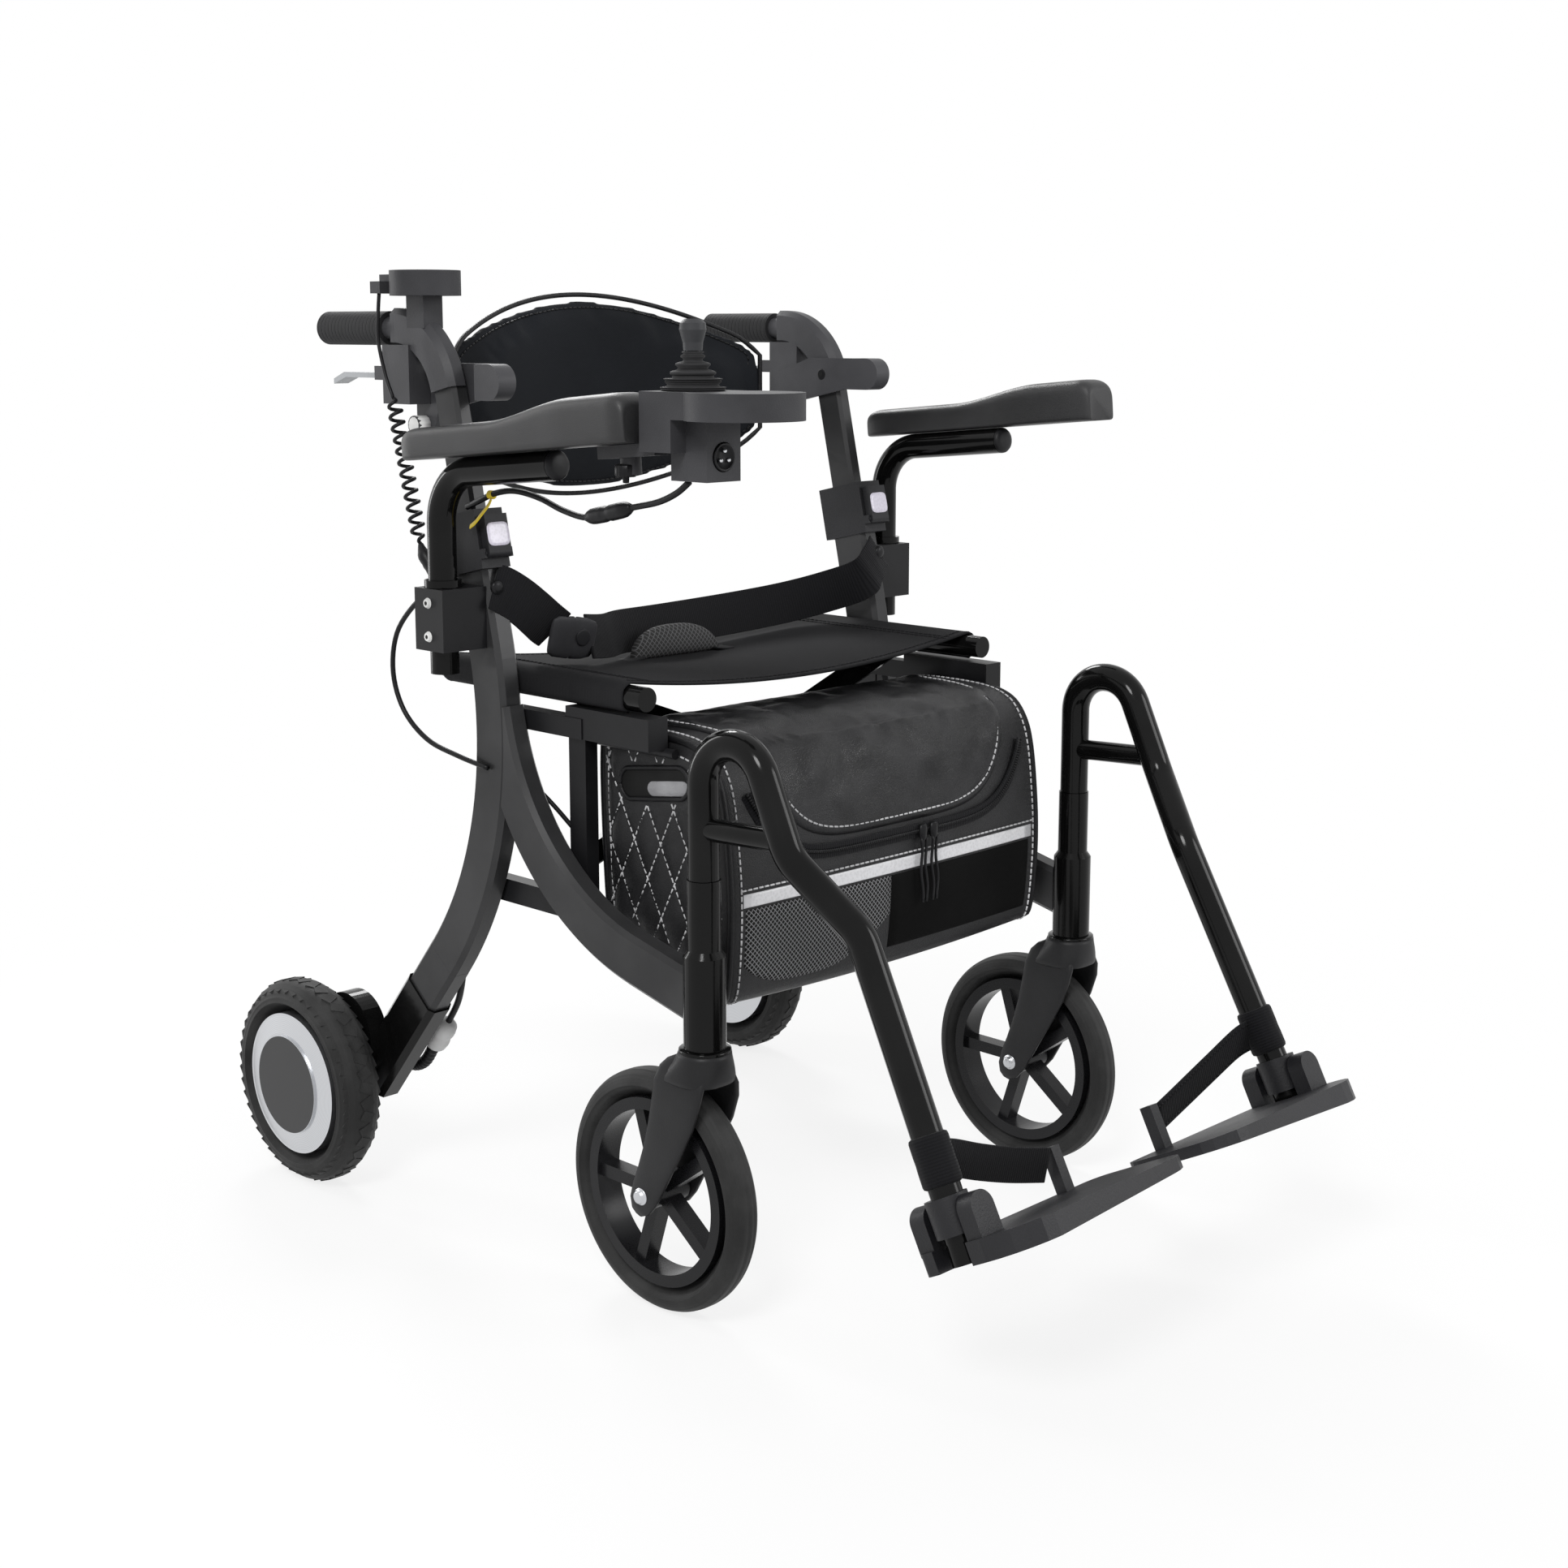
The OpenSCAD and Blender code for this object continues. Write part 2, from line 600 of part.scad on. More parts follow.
module plate_outline() {
    function corner(c, r, a) = [for (i = [0:5]) c + r * [cos(a + 18 * i), sin(a + 18 * i)]];
    polygon(concat(
        corner([plate_out - 6, plate_rear - 6], 6, 0), corner([plate_in + 16, plate_rear - 16], 16, 90),
        corner([plate_in + 34, -plate_front + 34], 34, 180),
        corner([plate_out - 40, -plate_front + 40], 40, 270)));
}
// The plate forks round the tube, with a lug on the hinge pin before and behind it
module footplate(s) color("#333335") side(s) on_foot() translate([-foot.x, 0, 0]) difference() {
    union() {
        intersection() {
            along_y(-plate_front - 1, plate_rear + 1) polygon([
                [plate_out, plate_top], [plate_in, plate_top], [plate_in, plate_top - 9],
                [plate_out - 40, plate_top - plate_t], [plate_out, plate_top - plate_t]]);
            translate([0, 0, plate_top - plate_t - 1]) linear_extrude(plate_t + 2) plate_outline();
        }
        for (y = [-plate_rear, lug_in]) {
            pin_y(y, y + lug_w, foot.x, hinge_up, 2 * barrel_r);
            box([foot.x - barrel_r, y, plate_top - 3], [foot.x + barrel_r, y + lug_w, hinge_up]);
        }
        box([hook_x, plate_rear - 13, plate_top - 2], [hook_x + 10, plate_rear - 2, plate_top + hook_h]);
    }
    pin_y(-plate_rear - 1, plate_rear + 1, foot.x, hinge_up, hinge_pin + 2 * pin_fit);
    box([foot.x - collar_d / 2 - 6, -lug_in, plate_top - plate_t - 2],
        [plate_out + 1, lug_in, hinge_up + 20]);
}
module heel_strap(s) color("#141414") side(s) {
    difference() {
        union() {
            translate(foot) run(unit(shin - foot) * 58, unit(shin - foot) * 94) circle(d = hanger_d + 6);
            on_foot() strap(strap_route, 28, 2, [0, 0, 1]);
        }
        run(foot, shin) circle(d = hanger_d + 2 * soft_gap);
    }
}

// Armrest
module armrest_bracket(s) color("#1a1a1c") side(s) difference() {
    box([frame_face, armrest_y - armrest_r - 8, socket_low],
        [armrest_x + armrest_r + 4, armrest_y + armrest_r + 6, socket_high]);
    translate([armrest_x, armrest_y, socket_low - 1])
        cylinder(d = armrest_d + 2 * pin_fit, h = socket_high - socket_low + 2);
}
module on_armrest() translate([armrest_x, armrest_y, armrest_z]) rotate([-armrest_tilt, 0, 0]) children();
module armrest_tube(s) color("#1a1a1c") side(s) {
    sweep([[armrest_x, armrest_y, socket_low - 20], [armrest_x, armrest_y, armrest_z],
        [armrest_x, armrest_y, armrest_z] + armrest_run * [0, -cos(armrest_tilt), sin(armrest_tilt)]],
        [0, armrest_bend, 0]) circle(d = armrest_d);
    translate([armrest_x, armrest_y, socket_high + soft_gap]) cylinder(d = armrest_d + 7, h = 6);
}
module armrest_pad(s) color("#202021") side(s) on_armrest() intersection() {
    along_x(pad_in, pad_in + pad_w) polygon([
        [pad_rear, pad_up], [pad_rear, pad_up + pad_rear_h - 6], [pad_rear - 8, pad_up + pad_rear_h],
        [pad_rear - 110, pad_up + pad_rear_h], [90 - pad_front, pad_up + pad_front_h - 4],
        [50 - pad_front, pad_up + pad_front_h], [4 - pad_front, pad_up + pad_front_h],
        [-pad_front, pad_up + pad_front_h - 4], [-pad_front, pad_up]]);
    along_y(-pad_front - 1, pad_rear + 1) translate([pad_in + pad_w / 2, pad_up + pad_front_h / 2])
        rotate(90) bar(pad_w, pad_front_h, 5);
}

// Telescopic column and its clip
module upper_tube(s) color("#2b2b2d") side(s) on_column() translate([0, 0, tube_low])
    linear_extrude(arc_at - tube_low) rotate(90) bar(tube_w, tube_d, 3);
module height_clip(s) color("#1d1d1f") side(s) difference() {
    on_column() translate([-frame_x, 0, 0]) {
        box([clip_in, -clip_d / 2, clip_low], [clip_face, clip_d / 2, clip_high]);
        for (x = [clip_in, clip_face - 2.5]) {
            box([x, -clip_d / 2 - 6, clip_low + 8], [x + 2.5, 1 - clip_d / 2, clip_low + 16]);
        }
        pin_x(clip_in + 1, clip_face - 1, -clip_d / 2 - 5, clip_low + 12, 4);
    }
    on_column() translate([0, 0, clip_low])
        cube([tube_w + 2 * slide_fit, tube_d + 2 * slide_fit, 140], center = true);
    rear_leg_bar();
}
module clip_lever(s) color("#c9c6d6") side(s) on_column() translate([-frame_x, 0, 0]) difference() {
    union() {
        box([clip_in + 3, -clip_d / 2 - 9, clip_low + 12], [clip_face - 3, -clip_d / 2 - 1, clip_high - 6]);
        pin_x(clip_in + 3, clip_face - 3, -clip_d / 2 - 5, clip_low + 12, 8);
    }
    pin_x(clip_in, clip_face, -clip_d / 2 - 5, clip_low + 12, 4 + 2 * pin_fit);
}

// Handle arc with the brake housing, the grip core and the backrest bolt
module handle_bar() translate([handle_x, 0, 0])
    sweep([in_side(column_point(arc_at)), in_side(arc_corner), in_side([handle_end, grip_z])], [0, arc_r, 0])
        bar(arc_w, arc_d, 5);
module handle_arc(s) color("#3a3a3d") side(s) {
    handle_bar();
    pin_y(handle_end - 2, grip_rear - 8, handle_x, grip_z, core_d);
    box([handle_x - 10, brake_front, brake_low], [handle_x + 12, brake_rear, brake_high]);
    for (x = [-10, 8.9]) {
        box([handle_x + x, brake_rear - 1, lever_z - 6], [handle_x + x + 3.1, lever_y + 5, lever_z + 6]);
    }
    pin_x(handle_x - 9, handle_x + 11, lever_y, lever_z, lever_pin);
    pin_x(arm_in, handle_x - 4, bolt_y, bolt_z, back_bolt);
}
module grip(s) color("#262627") side(s) difference() {
    pin_y(grip_front, grip_rear, handle_x, grip_z, grip_d);
    pin_y(grip_front - 1, grip_rear - 7, handle_x, grip_z, core_d + 2 * pin_fit);
}
module brake_lever(s) color("#c8c8c4") side(s) translate([handle_x + 1, 0, 0]) difference() {
    union() {
        pin_x(-lever_w / 2, lever_w / 2, lever_y, lever_z, 9);
        along_x(-lever_w / 2, lever_w / 2) translate([lever_y, lever_z]) polygon([
            [0, -4.5], [0, 0], [lever_len - 16, 0], [lever_len, -6], [lever_len, -10.5],
            [lever_len - 18, -4.5]]);
    }
    pin_x(-lever_w, lever_w, lever_y, lever_z, lever_pin + 2 * pin_fit);
}

// Backrest: a plate inside each handle on its bolt, with a nose, a knob and a link to the cushion
module backrest_arm(s) color("#303033") side(s) difference() {
    union() {
        along_x(arm_in, arm_face) polygon([
            [nose_front + 15, bolt_z - 14], [nose_front + 15, bolt_z + 16], [bolt_y + 16, bolt_z + 16],
            [link_rear + 2, bolt_z + 2], [link_rear + 2, link_low], [link_front - 12, link_low],
            [link_front - 18, bolt_z - 26], [bolt_y - 30, bolt_z - 14]]);
        along_x(arm_in, arm_in + 18) {
            translate([nose_front + 15, bolt_z + 1]) circle(15);
            translate([nose_front + 15, bolt_z - 14]) square([18, 30]);
        }
        box([back_half + soft_gap, link_front, link_low], [arm_face, link_rear, link_high]);
        pin_x(arm_face - 1, arm_face + 12, link_front + 1, knob_z, 16);
    }
    pin_x(arm_in - 1, arm_face + 1, bolt_y, bolt_z, back_bolt + 2 * pin_fit);
}
back_nu = 20;
back_nv = 10;
function back_point(u, v, face) = let (
    h = back_end_h + (back_h - back_end_h) * (1 - u * u),
    t = 6 + (back_t - 6) * sqrt((1 - pow(u, 4)) * (1 - pow(v, 4))))
    [u * back_half, (link_front + link_rear) / 2 + back_bow * (1 - u * u) + face * t / 2, back_z + v * h / 2];
// The cushion is lofted from end to end, each ring going up its front and down its back
module backrest_pad() color("#18181a") middle()
    skin([for (i = [0:back_nu]) let (u = 2 * i / back_nu - 1) concat(
        [for (j = [0:back_nv]) back_point(u, 2 * j / back_nv - 1, 1)],
        [for (j = [back_nv:-1:0]) back_point(u, 2 * j / back_nv - 1, -1)])], 2 * back_nv + 2);

// Cross brace: each arm turns on one frame and carries the other side's seat rail
module cross_arm(s) color("#19191b") side(s) difference() {
    y = s < 0 ? front_brace_y : rear_brace_y;
    union() {
        run([rail_x, y, pivot_z], [-rail_x, y, rail_z]) bar(brace_t, brace_h, 3);
        pin_y(y - brace_t / 2, y + brace_t / 2, rail_x, pivot_z, eye_d);
        pin_y(rail_front, rail_rear, -rail_x, rail_z, rail_d);
        if (s < 0) pin_y(y, rear_brace_y + brace_t / 2, 0, (pivot_z + rail_z) / 2, brace_pin);
    }
    pin_y(y - brace_t, y + brace_t, rail_x, pivot_z, brace_pin + 2 * pin_fit);
    if (s > 0) pin_y(y - brace_t, y + brace_t, 0, (pivot_z + rail_z) / 2, brace_pin + 2 * pin_fit);
}

// Seat sling: a sagging sheet with a hem round each rail, notched for the brace arms
seat_steps = 24;
function seat_z(x) = rail_z + rail_r + soft_gap + seat_t / 2 - seat_sag * (1 - pow(x / rail_x, 2));
module seat_sling() color("#151516") middle() difference() {
    along_y(sling_front, rail_rear - 8) {
        polygon(concat(
            [for (i = [0:seat_steps]) let (x = rail_x * (2 * i / seat_steps - 1))
                [x, seat_z(x) + seat_t / 2]],
            [for (i = [seat_steps:-1:0]) let (x = rail_x * (2 * i / seat_steps - 1))
                [x, seat_z(x) - seat_t / 2]]));
        for (x = [-rail_x, rail_x]) translate([x, rail_z]) circle(r = rail_r + soft_gap + seat_t);
    }
    for (x = [-rail_x, rail_x]) {
        pin_y(sling_front - 1, rail_rear, x, rail_z, rail_d + 2 * soft_gap);
        box([x - 24, front_brace_y - brace_t / 2 - 2, rail_z - 30],
            [x + 24, rear_brace_y + brace_t / 2 + 2, rail_z + rail_r - 1]);
    }
    for (m = [0, 1]) mirror([m, 0, 0]) box([rail_x + rail_r + 0.1, column_front - 6, rail_z - 30],
        [rail_x + 40, column_front + leg_depth + 18, rail_z + 30]);
}
column_front = column_point((rail_z - knee_z) / cos(column_lean))[0] - leg_depth / 2 / cos(column_lean);
// Padded pull handle that lies on the seat
pull_rings = 8;
module seat_handle() color("#55565a") middle()
    translate([pull_x, rail_rear - pull_back, seat_z(pull_x) + seat_t / 2 + pull_h + 0.3])
    skin([for (i = [0:pull_rings]) let (u = 2 * i / pull_rings - 1, g = 0.45 + 0.55 * sqrt(1 - pow(u, 4)))
        [for (k = [0:9]) [u * pull_len / 2, pull_t * g * cos(36 * k), pull_h * g * sin(36 * k)]]], 10);

// Bag between the rods
bag_outline = [[46, bag_top - 14], [34, bag_top], [-58, bag_top], [-88, bag_top - 10], [-106, bag_top - 40],
    [-115, bag_low + 90], [-110, bag_low + 14], [-98, bag_low], [30, bag_low + 42], [40, bag_low + 52]];
bag_inside = [for (p = bag_outline) [p[0] - sign(p[0] + 35) * bag_wall, p[1] - sign(p[1] - 370) * bag_wall]];
module under_seat_bag() color("#1a1a1b") middle() difference() {
    along_x(-bag_half, bag_half) polygon(bag_outline);
    along_x(bag_wall - bag_half, bag_half - bag_wall) polygon(bag_inside);
}
// Lap belt with its buckle
module lap_belt() color("#101011") middle() {
    strap(smooth(belt_right, 2), belt_w, belt_t, [0, -0.6, 0.8]);
    box(buckle_low, buckle_high);
    strap(smooth(belt_left, 2), belt_w, belt_t, [0, 0.3, 1]);
    pin_x(-frame_in, 1 - belt_end, belt_right[0].y, belt_right[0].z, belt_button);
    pin_x(belt_end - 1, frame_in, belt_left[len(belt_left) - 1].y, belt_left[len(belt_left) - 1].z,
        belt_button);
}

// Joystick on the right armrest
module joystick_box() color("#3a3a3c") side(right) difference() {
    union() {
        translate([box_x, nose_y, box_low]) cylinder(r = box_r, h = box_high - box_low);
        box([box_x - 32, nose_y, box_low], [box_x + 32, box_rear, box_high]);
        box([box_x - 32, box_rear - 34, box_low - 24], [box_x + 32, box_rear, box_low + 1]);
        box([box_x - 17, stick_y - 32, block_low], [box_x + 17, stick_y + 6, box_low + 1]);
        on_armrest() {
            box([-10, -pad_front - 14, pad_up - 10], [10, 50 - pad_front, pad_up - soft_gap]);
            translate([0, 24 - pad_front, pad_up - 23]) cylinder(d = 16, h = 14);
        }
    }
    translate([box_x, stick_y, box_high - 12]) cylinder(r = 11, h = 13);
    pin_y(stick_y - 33, stick_y - 24, box_x, block_low + 18, 22);
}
boot_h = 28;
boot_ribs = 5;
module joystick_boot() color("#151515") side(right) translate([box_x, stick_y, box_high + soft_gap])
    rotate_extrude() polygon(concat([[6.5, 0]],
        [for (i = [0:2 * boot_ribs]) [20 - 1.1 * i - (i % 2 == 0 ? 0 : 2), boot_h * i / (2 * boot_ribs)]],
        [[6.5, boot_h]]));
module joystick_stick() color("#1d1d1e") side(right) translate([box_x, stick_y, box_high]) {
    translate([0, 0, -7]) cylinder(d = 10, h = boot_h + 12);
    translate([0, 0, boot_h + 1]) rotate_extrude() polygon([
        [0, 0], [7, 0], [7.5, 6], [10, stick_h - boot_h - 9],
        [9.5, stick_h - boot_h - 4], [6, stick_h - boot_h - 1], [0, stick_h - boot_h - 1]]);
}

// Attendant control on top of the right handle
module attendant_pod() color("#3d3d40") side(right) difference() {
    union() {
        translate([handle_x, pod_y, pod_low]) cylinder(d = pod_d, h = pod_h);
        box([handle_x - 14, pod_y, pod_low + 2],
            [handle_x + 14, pod_y + pod_d / 2 + 16, pod_low + pod_h - 3]);
        box([handle_x - 10, pod_y - 10, grip_z], [handle_x + 10, pod_y + 14, pod_low + 1]);
        box([handle_x + 10, pod_y + 26, pod_low + 2], [handle_x + 28, pod_y + 40, pod_low + 12]);
    }
    handle_bar();
}

// Coiled lead: one cord from the attendant control, through its curls, to the plug
coil_steps = 8;
coil_axis = unit(coil_low - coil_top);
coil_side = square_to(coil_axis, [0, 1, 0]);
coil_r = (coil_d - lead_d) / 2;
function coil_point(i) = let (t = i / (curls * coil_steps), a = 360 * i / coil_steps,
    grow = min(1, i / coil_steps, (curls * coil_steps - i) / coil_steps))
    coil_top + (coil_low - coil_top) * t
        + coil_r * grow * (coil_side * cos(a) + cross(coil_axis, coil_side) * sin(a));
coil_points = [for (i = [0:curls * coil_steps]) coil_point(i)];
coil_path = concat(lead_route, coil_points, [plug_route[0]]);
coil_gap = min([for (i = [0:len(coil_points) - 7]) for (j = [i + 6:len(coil_points) - 1])
    norm(coil_points[i] - coil_points[j])]) - lead_d;
echo(coil_gap = coil_gap);
module coil_cord() color("#121212") side(right) {
    tube(coil_path, lead_d, 6);
    tube(plug_route, 12, 12);
}
module joystick_cable() color("#121212") side(right) {
    tube(smooth(joystick_route, 2), 5, 8);
    tube([joystick_route[3], joystick_route[4], joystick_route[5]], 13, 12);
}
module frame_cables() color("#121212") side(right) {
    tube(smooth(loop_route, 2), 4.4, 8);
    tube(smooth(motor_route, 2), 6, 8);
    tube([motor_route[4], motor_route[5]], 17, 12);
    tube(smooth(brace_route, 2), 4, 8);
}

rear_leg(right);  // right_rear_leg
rear_leg(left);  // left_rear_leg
front_leg(right);  // right_front_leg
front_leg(left);  // left_front_leg
motor_bracket(right);  // right_motor_bracket
motor_bracket(left);  // left_motor_bracket
side_bracket(right);  // right_side_bracket
side_bracket(left);  // left_side_bracket
drive_tyre(right);  // right_drive_tyre
drive_tyre(left);  // left_drive_tyre
hub_motor(right);  // right_hub_motor
hub_motor(left);  // left_hub_motor
caster_fork(right);  // right_caster_fork
caster_fork(left);  // left_caster_fork
caster_rim(right);  // right_caster_rim
caster_rim(left);  // left_caster_rim
caster_tyre(right);  // right_caster_tyre
caster_tyre(left);  // left_caster_tyre
hanger(right);  // right_hanger
hanger(left);  // left_hanger
footplate_block(right);  // right_footplate_block
footplate_block(left);  // left_footplate_block
footplate(right);  // right_footplate
footplate(left);  // left_footplate
heel_strap(right);  // right_heel_strap
heel_strap(left);  // left_heel_strap
armrest_bracket(right);  // right_armrest_bracket
armrest_bracket(left);  // left_armrest_bracket
armrest_tube(right);  // right_armrest_tube
armrest_tube(left);  // left_armrest_tube
armrest_pad(right);  // right_armrest_pad
armrest_pad(left);  // left_armrest_pad
upper_tube(right);  // right_upper_tube
upper_tube(left);  // left_upper_tube
height_clip(right);  // right_height_clip
height_clip(left);  // left_height_clip
clip_lever(right);  // right_clip_lever
clip_lever(left);  // left_clip_lever
handle_arc(right);  // right_handle_arc
handle_arc(left);  // left_handle_arc
grip(right);  // right_grip
grip(left);  // left_grip
brake_lever(right);  // right_brake_lever
brake_lever(left);  // left_brake_lever
backrest_arm(right);  // right_backrest_arm
backrest_arm(left);  // left_backrest_arm
cross_arm(right);  // right_cross_arm
cross_arm(left);  // left_cross_arm
seat_sling();
under_seat_bag();
backrest_pad();
lap_belt();
joystick_box();
joystick_boot();
joystick_stick();
attendant_pod();
seat_handle();
coil_cord();
joystick_cable();
frame_cables();
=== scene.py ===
# %% [markdown]
# # A powered rollator chair, dressed for its picture
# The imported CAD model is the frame: every metal and moulded piece is already there, in metres.
# This lesson adds what CAD leaves plain: cloth, padding, cords, stitches, screws and finishes.

# %% Load the frame
import bpy
import bmesh
import math
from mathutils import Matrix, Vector, noise
from mathutils.bvhtree import BVHTree


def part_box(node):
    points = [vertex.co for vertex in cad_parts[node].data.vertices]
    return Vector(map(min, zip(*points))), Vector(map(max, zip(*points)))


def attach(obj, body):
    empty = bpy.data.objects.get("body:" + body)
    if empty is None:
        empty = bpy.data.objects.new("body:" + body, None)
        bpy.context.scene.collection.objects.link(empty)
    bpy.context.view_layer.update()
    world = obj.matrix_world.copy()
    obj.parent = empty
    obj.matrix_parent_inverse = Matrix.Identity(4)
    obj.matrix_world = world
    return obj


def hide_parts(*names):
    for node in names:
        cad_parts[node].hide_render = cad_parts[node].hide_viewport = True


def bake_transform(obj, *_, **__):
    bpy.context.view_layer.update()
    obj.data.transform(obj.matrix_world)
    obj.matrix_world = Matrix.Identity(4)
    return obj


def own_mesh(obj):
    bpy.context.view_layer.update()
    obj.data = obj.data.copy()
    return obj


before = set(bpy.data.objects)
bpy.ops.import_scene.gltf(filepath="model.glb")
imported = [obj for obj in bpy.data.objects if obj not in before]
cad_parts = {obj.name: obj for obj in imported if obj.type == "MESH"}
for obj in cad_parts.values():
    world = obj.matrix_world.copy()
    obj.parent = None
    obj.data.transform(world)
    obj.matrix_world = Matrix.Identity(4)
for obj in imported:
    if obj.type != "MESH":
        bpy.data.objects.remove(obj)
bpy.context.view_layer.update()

# %% [markdown]
# The part's drawing is in millimetres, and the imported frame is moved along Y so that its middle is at 0.
# The left drive wheel's axle is at y = 372 in the drawing, so its packed box gives the shift.

# %% From the drawing to the frame
AXLE_Y = 372.0
wheel_low, wheel_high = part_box("left_drive_tyre")
SHIFT_Y = AXLE_Y - 500.0 * (wheel_low[1] + wheel_high[1])


def at(x, y, z):
    """A point of the drawing, in millimetres, as a place in the frame, in metres."""
    return Vector((x / 1000.0, (y - SHIFT_Y) / 1000.0, z / 1000.0))


def route(points, side=1):
    """A list of drawing points; side -1 puts it on the right of the chair."""
    return [at(side * x, y, z) for x, y, z in points]


print("shift along Y, mm:", round(SHIFT_Y, 3))

# %% [markdown]
# ## Camera
# The picture was taken from the chair's front right, a little above seat height. The place, the lens and
# the small shift come from matching the wheels, rails and handles to the photograph.

# %% Camera
CAMERA_AT, CAMERA_AIM = Vector((-1.3815, -1.3591, 0.7874)), Vector((0.0, 0.0063, 0.450))
SENSOR_MM, LENS_MM = 36.0, 51.19
LENS_SHIFT_X, LENS_SHIFT_Y = -0.0016, -0.0449


def looking(place, target):
    """The turn that points a camera or a lamp at place towards target."""
    return (target - place).to_track_quat("-Z", "Y").to_euler()


scene = bpy.context.scene
camera_data = bpy.data.cameras.new("camera")
camera_data.sensor_width, camera_data.lens = SENSOR_MM, LENS_MM
camera_data.shift_x, camera_data.shift_y = LENS_SHIFT_X, LENS_SHIFT_Y
camera = bpy.data.objects.new("camera", camera_data)
camera.location = CAMERA_AT
camera.rotation_euler = looking(CAMERA_AT, CAMERA_AIM)
scene.collection.objects.link(camera)
scene.camera = camera
scene.view_settings.view_transform = "Standard"
print("camera at", tuple(round(v, 3) for v in camera.location))

# %% [markdown]
# ## Expressions for finishes
# A finish is a small sum over the surface: weave plus wear, grain times mask. Writing Math nodes by hand
# hides that sum, so one class wraps a socket and lets plain operators, such as + and *, add the nodes.

# %% One socket of a finish


class Wire:
    """One socket of a finish. Arithmetic on it adds Math nodes."""

    def __init__(self, finish, socket):
        self.finish, self.socket = finish, socket

    def math(self, operation, *others):
        return self.finish.node("ShaderNodeMath", {"operation": operation}, dict(enumerate((self,) + others)))

    def swapped(self, operation, other):
        return self.finish.node("ShaderNodeMath", {"operation": operation}, {0: other, 1: self})

    def __add__(self, other): return self.math("ADD", other)
    def __radd__(self, other): return self.swapped("ADD", other)
    def __sub__(self, other): return self.math("SUBTRACT", other)
    def __rsub__(self, other): return self.swapped("SUBTRACT", other)
    def __mul__(self, other): return self.math("MULTIPLY", other)
    def __rmul__(self, other): return self.swapped("MULTIPLY", other)
    def __pow__(self, other): return self.math("POWER", other)
    def __lt__(self, other): return self.math("LESS_THAN", other)
    def __abs__(self): return self.math("ABSOLUTE")
    def sin(self): return self.math("SINE")

    def smoothly(self, low, high):
        """0 below low, 1 above high, and a soft step between them."""
        return self.finish.node("ShaderNodeMapRange", {"interpolation_type": "SMOOTHSTEP"},
                                {"Value": self, "From Min": low, "From Max": high})


print("wire class ready")

# %% [markdown]
# A real surface has a few numbers that are the same all over, and a few that change from place to place: its
# colour, its gloss and a fine relief. The next class keeps the two apart. Fixed numbers are set on the shader,
# and one method links what changes.

# %% One material


class Finish:
    """A procedural material round one Principled shader."""

    def __init__(self, name, **fixed):
        self.material = bpy.data.materials.new(name)
        self.material.use_nodes = True
        self.tree = self.material.node_tree
        self.shader = self.tree.nodes["Principled BSDF"]
        for key, value in fixed.items():
            self.shader.inputs[key.replace("_", " ")].default_value = value

    def node(self, kind, settings=None, sockets=None, out=0):
        made = self.tree.nodes.new(kind)
        for key, value in (settings or {}).items():
            setattr(made, key, value)
        for key, value in (sockets or {}).items():
            self.feed(value, made.inputs[key])
        return Wire(self, made.outputs[out])

    def feed(self, value, socket):
        if isinstance(value, Wire):
            self.tree.links.new(value.socket, socket)
        else:
            socket.default_value = value

    def place(self, centre=(0.0, 0.0, 0.0)):
        """Object coordinates, counted from centre."""
        here = self.node("ShaderNodeTexCoord", out=3)
        return self.node("ShaderNodeMapping", {}, {"Vector": here, "Location": [-c for c in centre]})

    def along(self):
        """The piece's own UV map, with its length in metres on the second axis."""
        return self.node("ShaderNodeTexCoord", out=2)

    def split(self, vector):
        first = self.node("ShaderNodeSeparateXYZ", {}, {"Vector": vector})
        outs = first.socket.node.outputs
        return [Wire(self, outs[k]) for k in range(3)]

    def noise(self, vector, scale, detail=2.0):
        return self.node("ShaderNodeTexNoise", {}, {"Vector": vector, "Scale": scale, "Detail": detail})

    def mix(self, factor, first, second):
        made = self.tree.nodes.new("ShaderNodeMix")
        made.data_type = "RGBA"
        pick = {s.identifier: s for s in made.inputs}
        self.feed(factor, pick["Factor_Float"])
        for value, key in ((first, "A_Color"), (second, "B_Color")):
            self.feed(value if isinstance(value, Wire) else (*value, 1.0), pick[key])
        return Wire(self, next(s for s in made.outputs if s.identifier == "Result_Color"))

    def wear(self, colour, roughness, height, strength, distance):
        """Links what changes over the surface: colour, roughness and a bump."""
        bump = self.node("ShaderNodeBump", {}, {"Height": height, "Strength": strength, "Distance": distance})
        for value, key in ((colour, "Base Color"), (roughness, "Roughness"), (bump, "Normal")):
            self.feed(value, self.shader.inputs[key])
        return self.material


print("finish class ready")

# %% [markdown]
# ## Paints and moulded plastics
# The frame is powder-coated aluminium: satin, with a fine orange peel. Hangers and armrest tubes are gloss
# black. Moulded pieces carry a spark-eroded grain. One recipe serves them all: a cloud for slow colour
# change and handling marks, a speck for the grain, and both together in the roughness.

# %% Coated and moulded finishes
CLOUD_SCALE, GRAIN_SCALE = 11.0, 900.0


def coated(name, colour, roughness, grain, size=GRAIN_SCALE, **fixed):
    """A hard skin of one colour. grain is the depth of its relief, size how many grains a metre holds."""
    f = Finish(name, **{"Specular_IOR_Level": 0.18, **fixed})
    here = f.place()
    cloud, speck = f.noise(here, CLOUD_SCALE, 4.0), f.noise(here, size, 2.0)
    dark = [c * 0.78 for c in colour]
    light = [c * 1.24 + 0.002 for c in colour]
    rough = (cloud - 0.5) * 0.22 + (speck - 0.5) * 0.12 + roughness
    return f.wear(f.mix(cloud.smoothly(0.3, 0.7), dark, light), rough, speck, grain, 0.0004)


